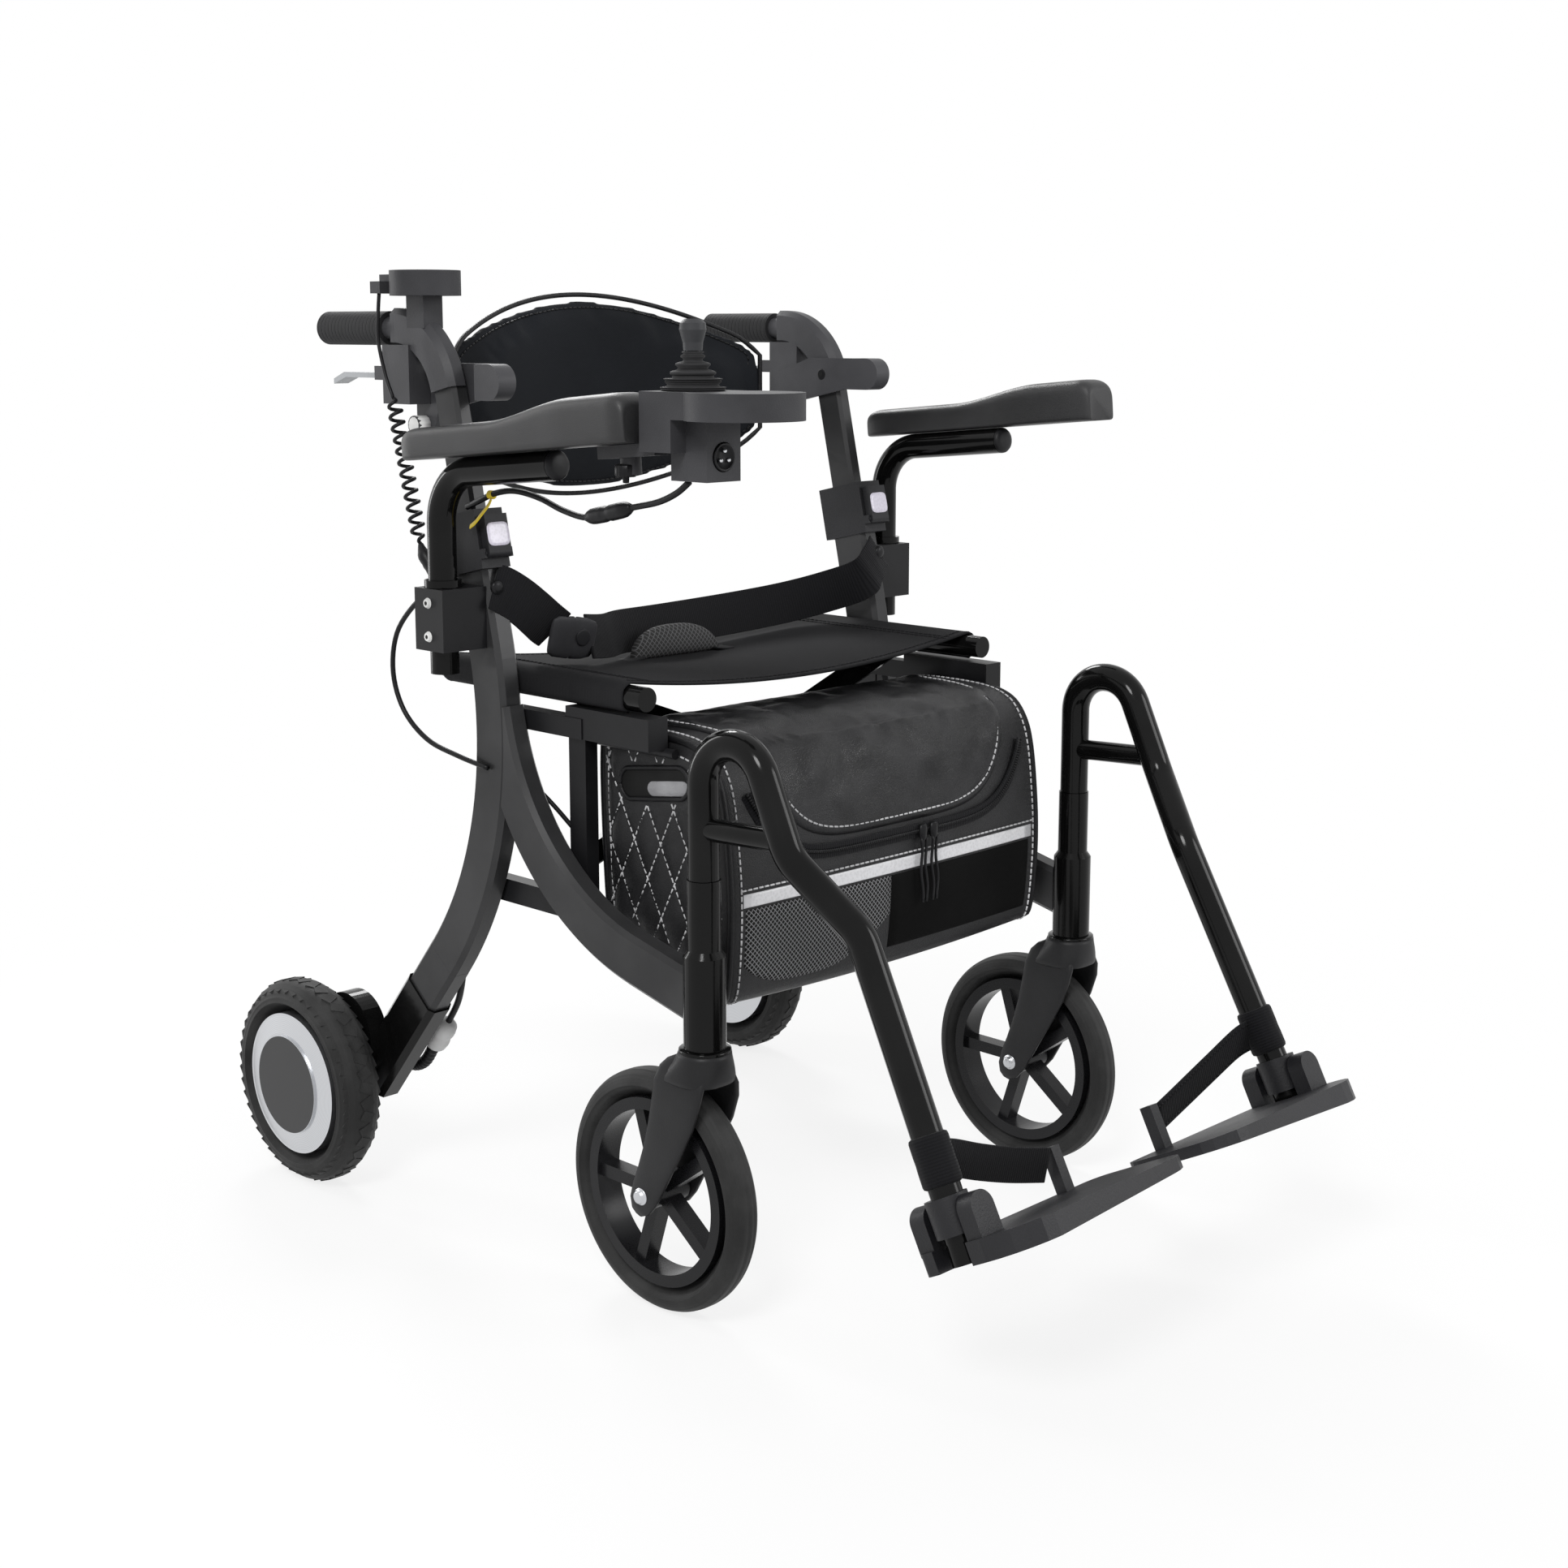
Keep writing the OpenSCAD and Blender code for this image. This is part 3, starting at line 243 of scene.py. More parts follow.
paint = coated("frame_paint", (0.031, 0.031, 0.032), 0.36, 0.10, Metallic=0.25, Coat_Weight=0.06)
dark_paint = coated("bracket_paint", (0.008, 0.008, 0.009), 0.42, 0.12)
gloss = coated("gloss_black", (0.003, 0.003, 0.003), 0.12, 0.02, 300.0, Specular_IOR_Level=0.16)
fork_plastic = coated("fork_plastic", (0.017, 0.017, 0.018), 0.44, 0.22)
rim_plastic = coated("rim_plastic", (0.008, 0.008, 0.009), 0.28, 0.08)
plate_plastic = coated("plate_plastic", (0.011, 0.011, 0.013), 0.46, 0.45, 620.0, Specular_IOR_Level=0.3)
clip_plastic = coated("clip_plastic", (0.018, 0.018, 0.020), 0.50, 0.30)
handle_plastic = coated("handle_plastic", (0.050, 0.050, 0.054), 0.45, 0.25)
control_plastic = coated("control_plastic", (0.034, 0.034, 0.037), 0.52, 0.35, 1100.0)
stick_plastic = coated("stick_plastic", (0.050, 0.051, 0.055), 0.48, 0.20)
lever_grey = coated("lever_grey", (0.30, 0.31, 0.32), 0.44, 0.15)
white_plastic = coated("white_plastic", (0.70, 0.70, 0.69), 0.40, 0.12)
black_screw = coated("black_screw", (0.012, 0.012, 0.013), 0.34, 0.08, Metallic=0.4)
bright_steel = coated("bright_steel", (0.55, 0.56, 0.58), 0.30, 0.10, 500.0, Metallic=1.0)
# Near-black painted shade for hollows that the meshes leave solid: screw sockets and the bag's hand holes.
dark_recess = coated("dark_recess", (0.004, 0.004, 0.004), 0.60, 0.10)
tie_yellow = coated("tie_yellow", (0.62, 0.46, 0.03), 0.42, 0.10)
plug_grey = coated("plug_grey", (0.50, 0.50, 0.50), 0.50, 0.20)
cable_skin = coated("cable_skin", (0.007, 0.007, 0.008), 0.42, 0.10, 400.0)
thread_white = coated("thread_white", (0.52, 0.52, 0.53), 0.75, 0.40, 2600.0)
foam = coated("armrest_foam", (0.022, 0.022, 0.023), 0.40, 0.45, 1500.0, Specular_IOR_Level=0.3)
print("coated finishes:", len(bpy.data.materials))

# %% [markdown]
# ## Tyres, hubs and posts
# A tyre's finish follows its wheel: the mapping is centred on the axle, so the radius comes from two coordinates.
# The hub wears a machined ring round a dark disc, both drawn by the same radius.

# %% Tyre and hub
HUB_DISC = 0.0455


def radius_of(f, centre):
    """How far a place is along the axle, and how far from it."""
    x, y, z = f.split(f.place(centre))
    return x, (y * y + z * z) ** 0.5


def rubber(name, centre, radius, grooves):
    """Tyre rubber: dust, tread grooves on the outer rim and rings on the side wall."""
    f = Finish(name, Specular_IOR_Level=0.2)
    x, r = radius_of(f, centre)
    here = f.place(centre)
    dust = f.noise(here, 26.0, 5.0)
    band = ((x * grooves).sin() * 0.5 + 0.5) * r.smoothly(radius - 0.006, radius - 0.001)
    ring = ((r * 1500.0).sin() * 0.5 + 0.5) * (1 - r.smoothly(radius - 0.012, radius - 0.006))
    tone = dust.smoothly(0.35, 0.75)
    return f.wear(f.mix(tone, (0.016, 0.016, 0.016), (0.036, 0.036, 0.036)), 0.50 + dust * 0.2,
                  band + ring * 0.25 + f.noise(here, 700.0) * 0.2, 0.5, 0.0012)


def hub(name, centre):
    """A ring of turned metal round a dark plastic disc."""
    f = Finish(name)
    r = radius_of(f, centre)[1]
    disc = r < HUB_DISC
    machined = (r * 5200.0).sin() * 0.5 + 0.5
    cloud = f.noise(f.place(centre), 40.0, 3.0)
    f.feed((1 - disc) * 0.95, f.shader.inputs["Metallic"])
    bright = f.mix(machined, (0.50, 0.51, 0.53), (0.66, 0.67, 0.69))
    dark = f.mix(cloud, (0.006, 0.006, 0.007), (0.013, 0.013, 0.014))
    return f.wear(f.mix(disc, bright, dark), disc * 0.10 + 0.26 + cloud * 0.1,
                  machined * (1 - disc), 0.08, 0.0003)


print("tyre and hub finishes ready")

# %% [markdown]
# The front leg and the gloss post welded to it are one CAD node, so one finish tells them apart by the distance
# from the post's axis. Wheels, hubs and legs each get their own copy, centred on their own place.

# %% Leg, post and centred finishes
SIDES = ((-1, "right"), (1, "left"))
WHEELS = (("drive", 0.095, 420.0), ("caster", 0.100, 900.0))
POST_X, POST_Y, POST_REACH = 233.5, -123.0, 0.0176


def leg_and_post(name, centre):
    """The front leg's satin paint, and the gloss black of the upright post that is welded to it."""
    f = Finish(name, Specular_IOR_Level=0.17)
    here = f.place(centre)
    x, y = f.split(here)[:2]
    post = ((x * x + y * y) ** 0.5) < POST_REACH
    cloud, speck = f.noise(here, CLOUD_SCALE, 4.0), f.noise(here, GRAIN_SCALE, 2.0)
    tone = f.mix(cloud.smoothly(0.3, 0.7), (0.024, 0.024, 0.025), (0.040, 0.040, 0.041))
    return f.wear(f.mix(post, tone, (0.003, 0.003, 0.003)), 0.36 + (cloud - 0.5) * 0.2 - post * 0.22,
                  speck, 0.08, 0.0004)


def middle_of(node):
    """The middle of a CAD node's box."""
    low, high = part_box(node)
    return [(a + b) / 2 for a, b in zip(low, high)]


own_finish = {}
for s, word in SIDES:
    for wheel, size, grooves in WHEELS:
        tyre = f"{word}_{wheel}_tyre"
        own_finish[tyre] = rubber(f"{word}_{wheel}_rubber", middle_of(tyre), size, grooves)
    own_finish[f"{word}_hub_motor"] = hub(f"{word}_hub_metal", middle_of(f"{word}_drive_tyre"))
    own_finish[f"{word}_front_leg"] = leg_and_post(f"{word}_leg_and_post", tuple(at(s * POST_X, POST_Y, 300)))
print("finishes with a centre:", sorted(own_finish))

# %% [markdown]
# ## Cloth, webbing and leather
# Cloth is two sets of ribs at right angles, with the slow waviness that any stretched cloth has. Webbing has its
# ribs across the strap, so it reads the strap's own map. Image textures would be quicker, but these stay sharp
# at any distance.

# %% Woven cloth and webbing


def woven(name, colour, pitch, roughness, axes=(0, 1), **fixed):
    """Plain weave on Object coordinates, over two of the three axes."""
    f = Finish(name, **{"Specular_IOR_Level": 0.12, **fixed})
    here = f.place()
    parts = f.split(here)
    turn = math.tau / pitch
    warp, weft = (parts[axes[0]] * turn).sin(), (parts[axes[1]] * turn).sin()
    cloth = warp * weft * 0.5 + 0.5
    cloud = f.noise(here, 9.0, 4.0)
    shade = cloud.smoothly(0.3, 0.7) * 0.6 + cloth * 0.4
    return f.wear(f.mix(shade, [c * 0.65 for c in colour], [c * 1.4 + 0.003 for c in colour]),
                  roughness + (cloud - 0.5) * 0.12, cloth, 0.35, 0.0004)


def banded(name, colour, pitch):
    """Webbing: ribs across its length, read from the strap's own map."""
    f = Finish(name, Sheen_Weight=0.06, Specular_IOR_Level=0.12)
    u, v = f.split(f.along())[:2]
    ribs = (v * (math.tau / pitch)).sin() * 0.5 + 0.5
    lines = (u * 80.0).sin() * 0.5 + 0.5
    cloud = f.noise(f.place(), 30.0, 3.0)
    return f.wear(f.mix(ribs * 0.5 + cloud * 0.5, [c * 0.7 for c in colour], [c * 1.5 for c in colour]),
                  0.72 + cloud * 0.12, ribs + lines * 0.5, 0.5, 0.0005)


print("weaves ready")

# %% [markdown]
# The bag's coated cloth has a pebble grain, from the edges of small cells, and soft creases over it, whose colour is
# painted darker in their hollows and lighter on their crests, as painted shade and painted light. Its pocket is a net
# of light threads over dark cloth. The reflective pieces are a film of tiny cells that catch the light.

# %% Leather, net and film


def leather(name, colour, roughness, crease):
    """Coated cloth: a pebble from cell edges, with soft creases whose hollows are painted darker and crests lighter,
    as painted shade and light.
    """
    f = Finish(name, Specular_IOR_Level=0.24)
    here = f.place()
    pebble = f.node("ShaderNodeTexVoronoi", {"feature": "DISTANCE_TO_EDGE"}, {"Vector": here, "Scale": 620.0})
    fold = f.noise(here, 24.0, 5.0)
    wrinkle = 1 - abs(f.noise(here, 6.5, 2.0) - 0.5).smoothly(0.0, 0.09)
    grain = pebble.smoothly(0.0, 0.25)
    # The colour follows the folds' relief: painted shade in their hollows and painted light on their crests.
    shade = f.mix(fold.smoothly(0.35, 0.7), [c * 0.75 for c in colour], [c * 1.35 for c in colour])
    return f.wear(shade, roughness + (fold - 0.5) * 0.25 + (1 - grain) * 0.08,
                  grain * 0.35 + (fold * 6.0 + wrinkle * 1.6) * crease, 0.35, 0.0012)


def netting(name, pitch, thread, ground=0.006):
    """Mesh: light threads in a square net over darker cloth."""
    f = Finish(name, Specular_IOR_Level=0.15)
    x, z = f.split(f.place())[::2]
    turn = math.pi / pitch
    net = (abs((x * turn + z * turn).sin()) < 0.28).math("MAXIMUM", abs((x * turn - z * turn).sin()) < 0.28)
    return f.wear(f.mix(net, [ground] * 3, [thread, thread, thread * 1.03]), 0.75 - net * 0.2, net, 0.5, 0.0006)


def reflector(name, colour):
    """Prism film: tiny triangular cells that catch the light."""
    f = Finish(name, Coat_Weight=0.6, Coat_Roughness=0.08)
    here = f.place()
    cells = f.node("ShaderNodeTexVoronoi", {"feature": "F1"}, {"Vector": here, "Scale": 420.0})
    cloud = f.noise(here, 16.0)
    return f.wear(f.mix(cells.smoothly(0.1, 0.8), [c * 0.86 for c in colour], colour), 0.3 + cloud * 0.15,
                  cells, 0.12, 0.0004)


seat_cloth = woven("seat_fabric", (0.012, 0.012, 0.013), 0.0014, 0.78, Specular_IOR_Level=0.08)
back_cloth = woven("back_fabric", (0.005, 0.006, 0.008), 0.0018, 0.80, (0, 2), Sheen_Weight=0.03)
handle_cloth = netting("handle_fabric", 0.0052, 0.105, 0.030)
webbing = banded("webbing", (0.005, 0.005, 0.006), 0.0024)
band_cloth = woven("band_cloth", (0.003, 0.003, 0.003), 0.0018, 0.80, (0, 2), Specular_IOR_Level=0.06)
bag_skin = leather("bag_leather", (0.013, 0.013, 0.014), 0.40, 0.4)
lid_skin = leather("lid_leather", (0.013, 0.013, 0.014), 0.33, 0.8)
bag_trim = leather("bag_trim", (0.005, 0.005, 0.006), 0.38, 0.1)
lining = leather("bag_lining", (0.24, 0.24, 0.25), 0.30, 0.5)
pocket_net = netting("pocket_net", 0.0046, 0.22)
strip_film = reflector("strip_film", (0.66, 0.66, 0.68))
clip_film = reflector("clip_film", (0.60, 0.57, 0.66))
print("cloth finishes ready")

# %% [markdown]
# The grips are rubber with ring grooves along their length, and the joystick's boot is thin moulded rubber. Both are
# one recipe: a sine along one axis, with a flat top, and a fine speck over it. The grooves are also painted darker
# than the tops, as painted shade.

# %% Grip and boot rubber


def ribbed(name, colour, axis, pitch, depth):
    """Moulded rubber with grooves at equal steps along one axis, painted darker in the grooves as shade."""
    f = Finish(name, Specular_IOR_Level=0.2)
    here = f.place()
    rib = abs((f.split(here)[axis] * (math.pi / pitch)).sin()).smoothly(0.0, 0.5)
    speck = f.noise(here, 900.0)
    # The colour is darker in the grooves than on the tops: painted shade.
    return f.wear(f.mix(rib, [c * 0.6 for c in colour], [c * 1.2 for c in colour]), 0.66 + speck * 0.12,
                  rib + speck * 0.1, 0.6, depth)


grip_rubber = ribbed("grip_rubber", (0.016, 0.016, 0.017), 1, 0.0052, 0.0010)
boot_rubber = ribbed("boot_rubber", (0.020, 0.020, 0.021), 2, 0.0047, 0.0008)
print("rubber ready")

# %% [markdown]
# ## Finishes on the CAD nodes
# The rigid nodes keep their CAD shape. Each only gets a material in its slots: its own where the finish has a
# centre, and otherwise the one that both sides share.

# %% Assign
node_finish = {
    "rear_leg": paint, "upper_tube": paint, "motor_bracket": gloss, "side_bracket": dark_paint,
    "caster_fork": fork_plastic, "caster_rim": rim_plastic, "hanger": gloss, "footplate_block": plate_plastic,
    "footplate": plate_plastic, "armrest_bracket": dark_paint, "armrest_tube": gloss,
    "height_clip": clip_plastic, "clip_lever": clip_plastic, "handle_arc": handle_plastic, "grip": grip_rubber,
    "brake_lever": lever_grey, "backrest_arm": handle_plastic, "cross_arm": gloss,
    "joystick_box": control_plastic, "joystick_stick": stick_plastic, "attendant_pod": control_plastic}
dressed = 0
for name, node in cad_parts.items():
    finish = own_finish.get(name) or node_finish.get(name.replace("right_", "").replace("left_", ""))
    if finish:
        node.data.materials.clear()
        node.data.materials.append(finish)
        dressed += 1
print("CAD nodes dressed:", dressed, "of", len(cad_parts))

# %% [markdown]
# ## Lofted shapes
# Straps, cords, piping and cushions are all rings of points joined one to the next. One function makes the
# mesh and its own map, with the length along the piece in metres on the second axis for the weaves.

# %% Loft


def mount(piece, body):
    """Puts a piece on its body, if it has just one."""
    if body:
        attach(piece, body)


def add_piece(name, rings, body, finish):
    """Joins rings of equal count to one closed mesh, with its faces outward, and mounts it."""
    count = len(rings[0])
    run = [0.0]
    for a, b in zip(rings, rings[1:]):
        run.append(run[-1] + (b[0] - a[0]).length)
    faces, maps = [], []
    for i in range(len(rings) - 1):
        for j in range(count):
            a, b = i * count + j, i * count + (j + 1) % count
            faces.append((a, b, b + count, a + count))
            u, v = j / count, (j + 1) / count
            maps.append(((u, run[i]), (v, run[i]), (v, run[i + 1]), (u, run[i + 1])))
    last = (len(rings) - 1) * count
    faces += [tuple(reversed(range(count))), tuple(last + k for k in range(count))]
    maps += [[(0.5, run[0])] * count, [(0.5, run[-1])] * count]
    mesh = bpy.data.meshes.new(name)
    mesh.from_pydata([tuple(p) for ring in rings for p in ring], [], faces)
    layer = mesh.uv_layers.new(name="length")
    for face, uvs in zip(mesh.polygons, maps):
        for loop, uv in zip(face.loop_indices, uvs):
            layer.data[loop].uv = uv
    work = bmesh.new()
    work.from_mesh(mesh)
    bmesh.ops.recalc_face_normals(work, faces=work.faces)
    work.to_mesh(mesh)
    work.free()
    mesh.materials.append(finish)
    mesh.polygons.foreach_set("use_smooth", [True] * len(mesh.polygons))
    piece = bpy.data.objects.new(name, mesh)
    scene.collection.objects.link(piece)
    mount(piece, body)
    return piece


print("loft ready")

# %% [markdown]
# A strap or a cord needs a path and a section. The paths are smooth curves through a few points, and a section is
# carried along one without twisting, unless the strap itself twists. A piece that swells, such as a plug, is a
# round sweep with its own thickness at each step.

# %% Paths and sections
EDGE_TURN = [math.pi * (k / 5 - 0.5) for k in range(6)]


def smooth_path(knots, steps=6):
    """A smooth curve that goes through every knot."""
    path = []
    for i in range(len(knots) - 1):
        a, b = knots[max(i - 1, 0)], knots[i]
        c, d = knots[i + 1], knots[min(i + 2, len(knots) - 1)]
        for k in range(steps):
            t = k / steps
            path.append(0.5 * (2 * b + (c - a) * t + (2 * a - 5 * b + 4 * c - d) * t * t
                               + (3 * b - a - 3 * c + d) * t ** 3))
    return path + [knots[-1]]


def sweep(path, section, wide=None, end_wide=None):
    """Carries a section of (across, out) offsets along a path; wide says which way its width lies, and end_wide
    which way it lies at the far end, where a strap twists."""
    rings, across = [], None
    for i, p in enumerate(path):
        ahead = (path[min(i + 1, len(path) - 1)] - path[max(i - 1, 0)]).normalized()
        if wide is not None:
            across = Vector(wide).lerp(Vector(end_wide or wide), i / (len(path) - 1))
        elif across is None:
            across = ahead.cross(Vector((0, 0, 1) if abs(ahead.z) < 0.9 else (1, 0, 0)))
        across = (across - ahead * across.dot(ahead)).normalized()
        out = across.cross(ahead)
        rings.append([p + across * a + out * b for a, b in section])
    return rings


def angles(count):
    """Equal steps round a circle."""
    return [math.tau * k / count for k in range(count)]


def round_section(diameter, count):
    return [(diameter / 2 * math.cos(t), diameter / 2 * math.sin(t)) for t in angles(count)]


def flat_section(width, thick):
    """A strap's section, with rounded edges."""
    half, r = width / 2 - thick / 2, thick / 2
    right = [(half + r * math.cos(t), r * math.sin(t)) for t in EDGE_TURN]
    return right + [(-a, -b) for a, b in right]


def shaped(value, power):
    """A sine or cosine squared off: a power below 1 turns a circle into a rounded box."""
    return math.copysign(abs(value) ** power, value)


def path_length(path):
    return sum((b - a).length for a, b in zip(path, path[1:]))


def swollen(path, diameter, count, widths):
    """A round sweep whose thickness at each step is a share of the diameter."""
    rings = sweep(path, round_section(diameter, count))
    return [[p + (q - p) * w for q in ring] for ring, p, w in zip(rings, path, widths)]


print("a circle of 4 steps:", [round(t, 2) for t in angles(4)])

# %% [markdown]
# ## Cords
# The attendant's pod hangs on a curled lead; its plug goes into a loop of cable that ends in the frame. The
# joystick's lead hangs under the right armrest, with a connector in it. The right hub motor has its own lead.
# All run where the CAD solids run, so they are smooth tubes over the same points. The pod moves up and down with the
# handle; the curled lead is baked where it lies and rides no body.

# %% Curled lead
LEAD_D, LOOP_D, MOTOR_D, BRACE_D, STICK_D = 0.0032, 0.0044, 0.006, 0.004, 0.005
CURL_TURNS, CURL_SIDES, CURL_OUT = 13, 24, 0.014
PLUG_D = 0.012
PLUG_WIDTHS = [0.35, 0.42, 0.5, 0.6, 0.72, 0.9, 1, 1, 0.94, 1, 0.94, 1, 0.94, 1, 0.94, 0.9]


def cable_part(name, rings, body, finish=cable_skin):
    return add_piece(name, rings, body, finish)


def cord_tube(name, path, diameter, body, count=14):
    """A plain round cord along a path."""
    return cable_part(name, sweep(path, round_section(diameter, count)), body)


curl_top, curl_low = at(-258, 233, 729), at(-258, 199, 606)
down = curl_low - curl_top
side_y = (Vector((0, 1, 0)) - down.normalized() * down.normalized().y).normalized()
side_x = down.normalized().cross(side_y)
curl = []
for k in range(CURL_TURNS * CURL_SIDES + 1):
    t = k / (CURL_TURNS * CURL_SIDES)
    grow = min(1.0, t * CURL_TURNS, (1 - t) * CURL_TURNS)
    reach = (CURL_OUT - LEAD_D) / 2 * grow
    turn = math.tau * CURL_TURNS * t
    curl.append(curl_top + down * t + side_y * reach * math.cos(turn) + side_x * reach * math.sin(turn))
lead = smooth_path(route([(258, 248, 814.6), (258, 250, 800), (259, 250, 776), (258, 243, 748),
                          (258, 236, 734)], -1))
lead_cord = cord_tube("curled_lead", lead + curl, LEAD_D, None, 8)
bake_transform(lead_cord)
plug_path = smooth_path(route([(258, 199, 606), (258, 195, 598), (257, 186, 587), (256, 175, 576)], -1), 5)
lead_plug = cable_part("curled_lead_plug", swollen(plug_path, PLUG_D, 18, PLUG_WIDTHS), "right_frame")
loop = smooth_path(route([(256, 175, 576), (256, 182, 568), (256, 212, 553), (256, 240, 525), (256, 247, 490),
                          (255, 234, 458), (253, 204, 436), (249, 166, 426), (245.4, 130, 420)], -1))
loop_cord = cord_tube("lead_loop", loop, LOOP_D, "right_frame")
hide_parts("coil_cord")
print("curled lead, m:", round(path_length(lead + curl), 3), "loop, m:", round(path_length(loop), 3))

# %% [markdown]
# The motor's lead leaves the drum low down, runs through a corrugated sleeve and a pale plug, and goes up the
# rear leg. The sleeve's folds and the plug's waist are changes of thickness along the same path.

# %% Motor lead and brace lead
MOTOR_PLUG_D, MOTOR_PLUG_WIDTHS = 0.0215, (0.5, 0.92, 1, 1, 0.86, 1, 1, 0.92, 0.5)
SLEEVE_D, SLEEVE_FOLD = 0.0115, (1.0, 1.0, 0.84, 0.84)
motor = smooth_path(route([(215.6, 322, 121), (210, 304, 110), (208, 284, 116), (208, 266, 138), (208, 248, 160),
                           (209, 230, 184), (214, 216, 206), (217.6, 208, 226)], -1))
motor_cord = cord_tube("motor_lead", motor, MOTOR_D, "right_frame")
plug_axis = [at(-208, 266, 138).lerp(at(-208, 248, 160), t / 6) for t in range(-1, 8)]
plug_rings = swollen(plug_axis, MOTOR_PLUG_D, 20, MOTOR_PLUG_WIDTHS)
motor_plug = cable_part("motor_plug", plug_rings, "right_frame", plug_grey)
sleeve = smooth_path(motor[2:20], 4)
folds = [SLEEVE_FOLD[k % len(SLEEVE_FOLD)] for k in range(len(sleeve))]
motor_sleeve = cable_part("motor_lead_sleeve", swollen(sleeve, SLEEVE_D, 18, folds), "right_frame")
brace = smooth_path(route([(218.8, 112, 410), (214, 96, 398), (211, 80, 386), (210, 59.5, 372)], -1))
brace_cord = cord_tube("brace_lead", brace, BRACE_D, "right_frame")
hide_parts("frame_cables")
print("motor lead, m:", round(path_length(motor), 3), "brace lead, m:", round(path_length(brace), 3))

# %% [markdown]
# The joystick's lead sags under the armrest from the control box to the armrest's bend. Its connector is a
# long moulded body, slim at both ends, round the same points.

# %% Joystick lead
CONNECTOR_D = 0.013
CONNECTOR_WIDTHS = [0.45, 0.6, 0.8, 0.96, 1, 1, 1, 1, 0.85, 1, 1, 1, 1, 0.96, 0.8, 0.6, 0.45]
stick_points = [(258, -136, 674), (257, -121, 665), (255, -98, 657), (253, -66, 651), (252, -38, 645),
                (251, -10, 640), (250, 20, 644), (249, 50, 652), (249, 80, 656), (249, 106, 653),
                (248, 128, 646), (245, 150, 639)]
stick_route = smooth_path(route(stick_points, -1))
stick_cord = cord_tube("joystick_lead", stick_route, STICK_D, "right_armrest")
joint_path = smooth_path(route(stick_points[3:6], -1), 8)
joint_rings = swollen(joint_path, CONNECTOR_D, 20, CONNECTOR_WIDTHS)
stick_joint = cable_part("joystick_lead_connector", joint_rings, "right_armrest")
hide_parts("joystick_cable")
print("joystick lead, m:", round(path_length(stick_route), 3))

# %% [markdown]
# The leads start and end in the chair. Each is listed with its path, thickness, stiffness, lay and the parts on it,
# and its length is measured.

cords = ((lead_cord, lead + curl, LEAD_D, "limp", "coiled", [lead_plug]),
         (loop_cord, loop, LOOP_D, "medium", "hanging", []),
         (motor_cord, motor, MOTOR_D, "medium", "hanging", [motor_plug, motor_sleeve]),
         (brace_cord, brace, BRACE_D, "medium", "hanging", []),
         (stick_cord, stick_route, STICK_D, "medium", "hanging", [stick_joint]))
for cord, path, thick, stiff, lay, parts in cords:
    path_length(path)
print("cords declared:", len(cords))

# %% [markdown]
# A yellow cable tie holds the joystick's lead near the armrest's bend. It is a small ring, and its cut tail is
# a flat strip that points back and down.

# %% Yellow tie
TIE_R, TIE_EDGES = 0.0036, (-0.0024, -0.0020, 0.0, 0.0020, 0.0024)
tie_at = at(-248.8, 112, 651.4)
tie_rings = [[tie_at + Vector((TIE_R * math.cos(t), dy, TIE_R * math.sin(t))) for t in angles(18)]
             for dy in TIE_EDGES]
cable_part("yellow_tie", tie_rings, "right_armrest", tie_yellow)
tail_path = smooth_path(route([(251, 110, 648), (252.4, 112, 643), (253.4, 119, 636), (254, 128, 628),
                               (254, 135, 624)], -1))
tail_rings = sweep(tail_path, flat_section(0.0046, 0.0011), (0.5, 0.5, 0.7))
cable_part("yellow_tie_tail", tail_rings, "right_armrest", tie_yellow)
print("tie tail, m:", round(path_length(tail_path), 3))

# %% [markdown]
# ## Rows of small things
# Stitches, screws and zip teeth repeat along a line or over a set of points. Geometry Nodes do that: one tree
# sets a stitch on each step of a curve, another sets a head on each point and turns it to the point's aim. The
# class below builds a tree, runs it once on a base mesh, and leaves a plain mesh.

# %% Tree class


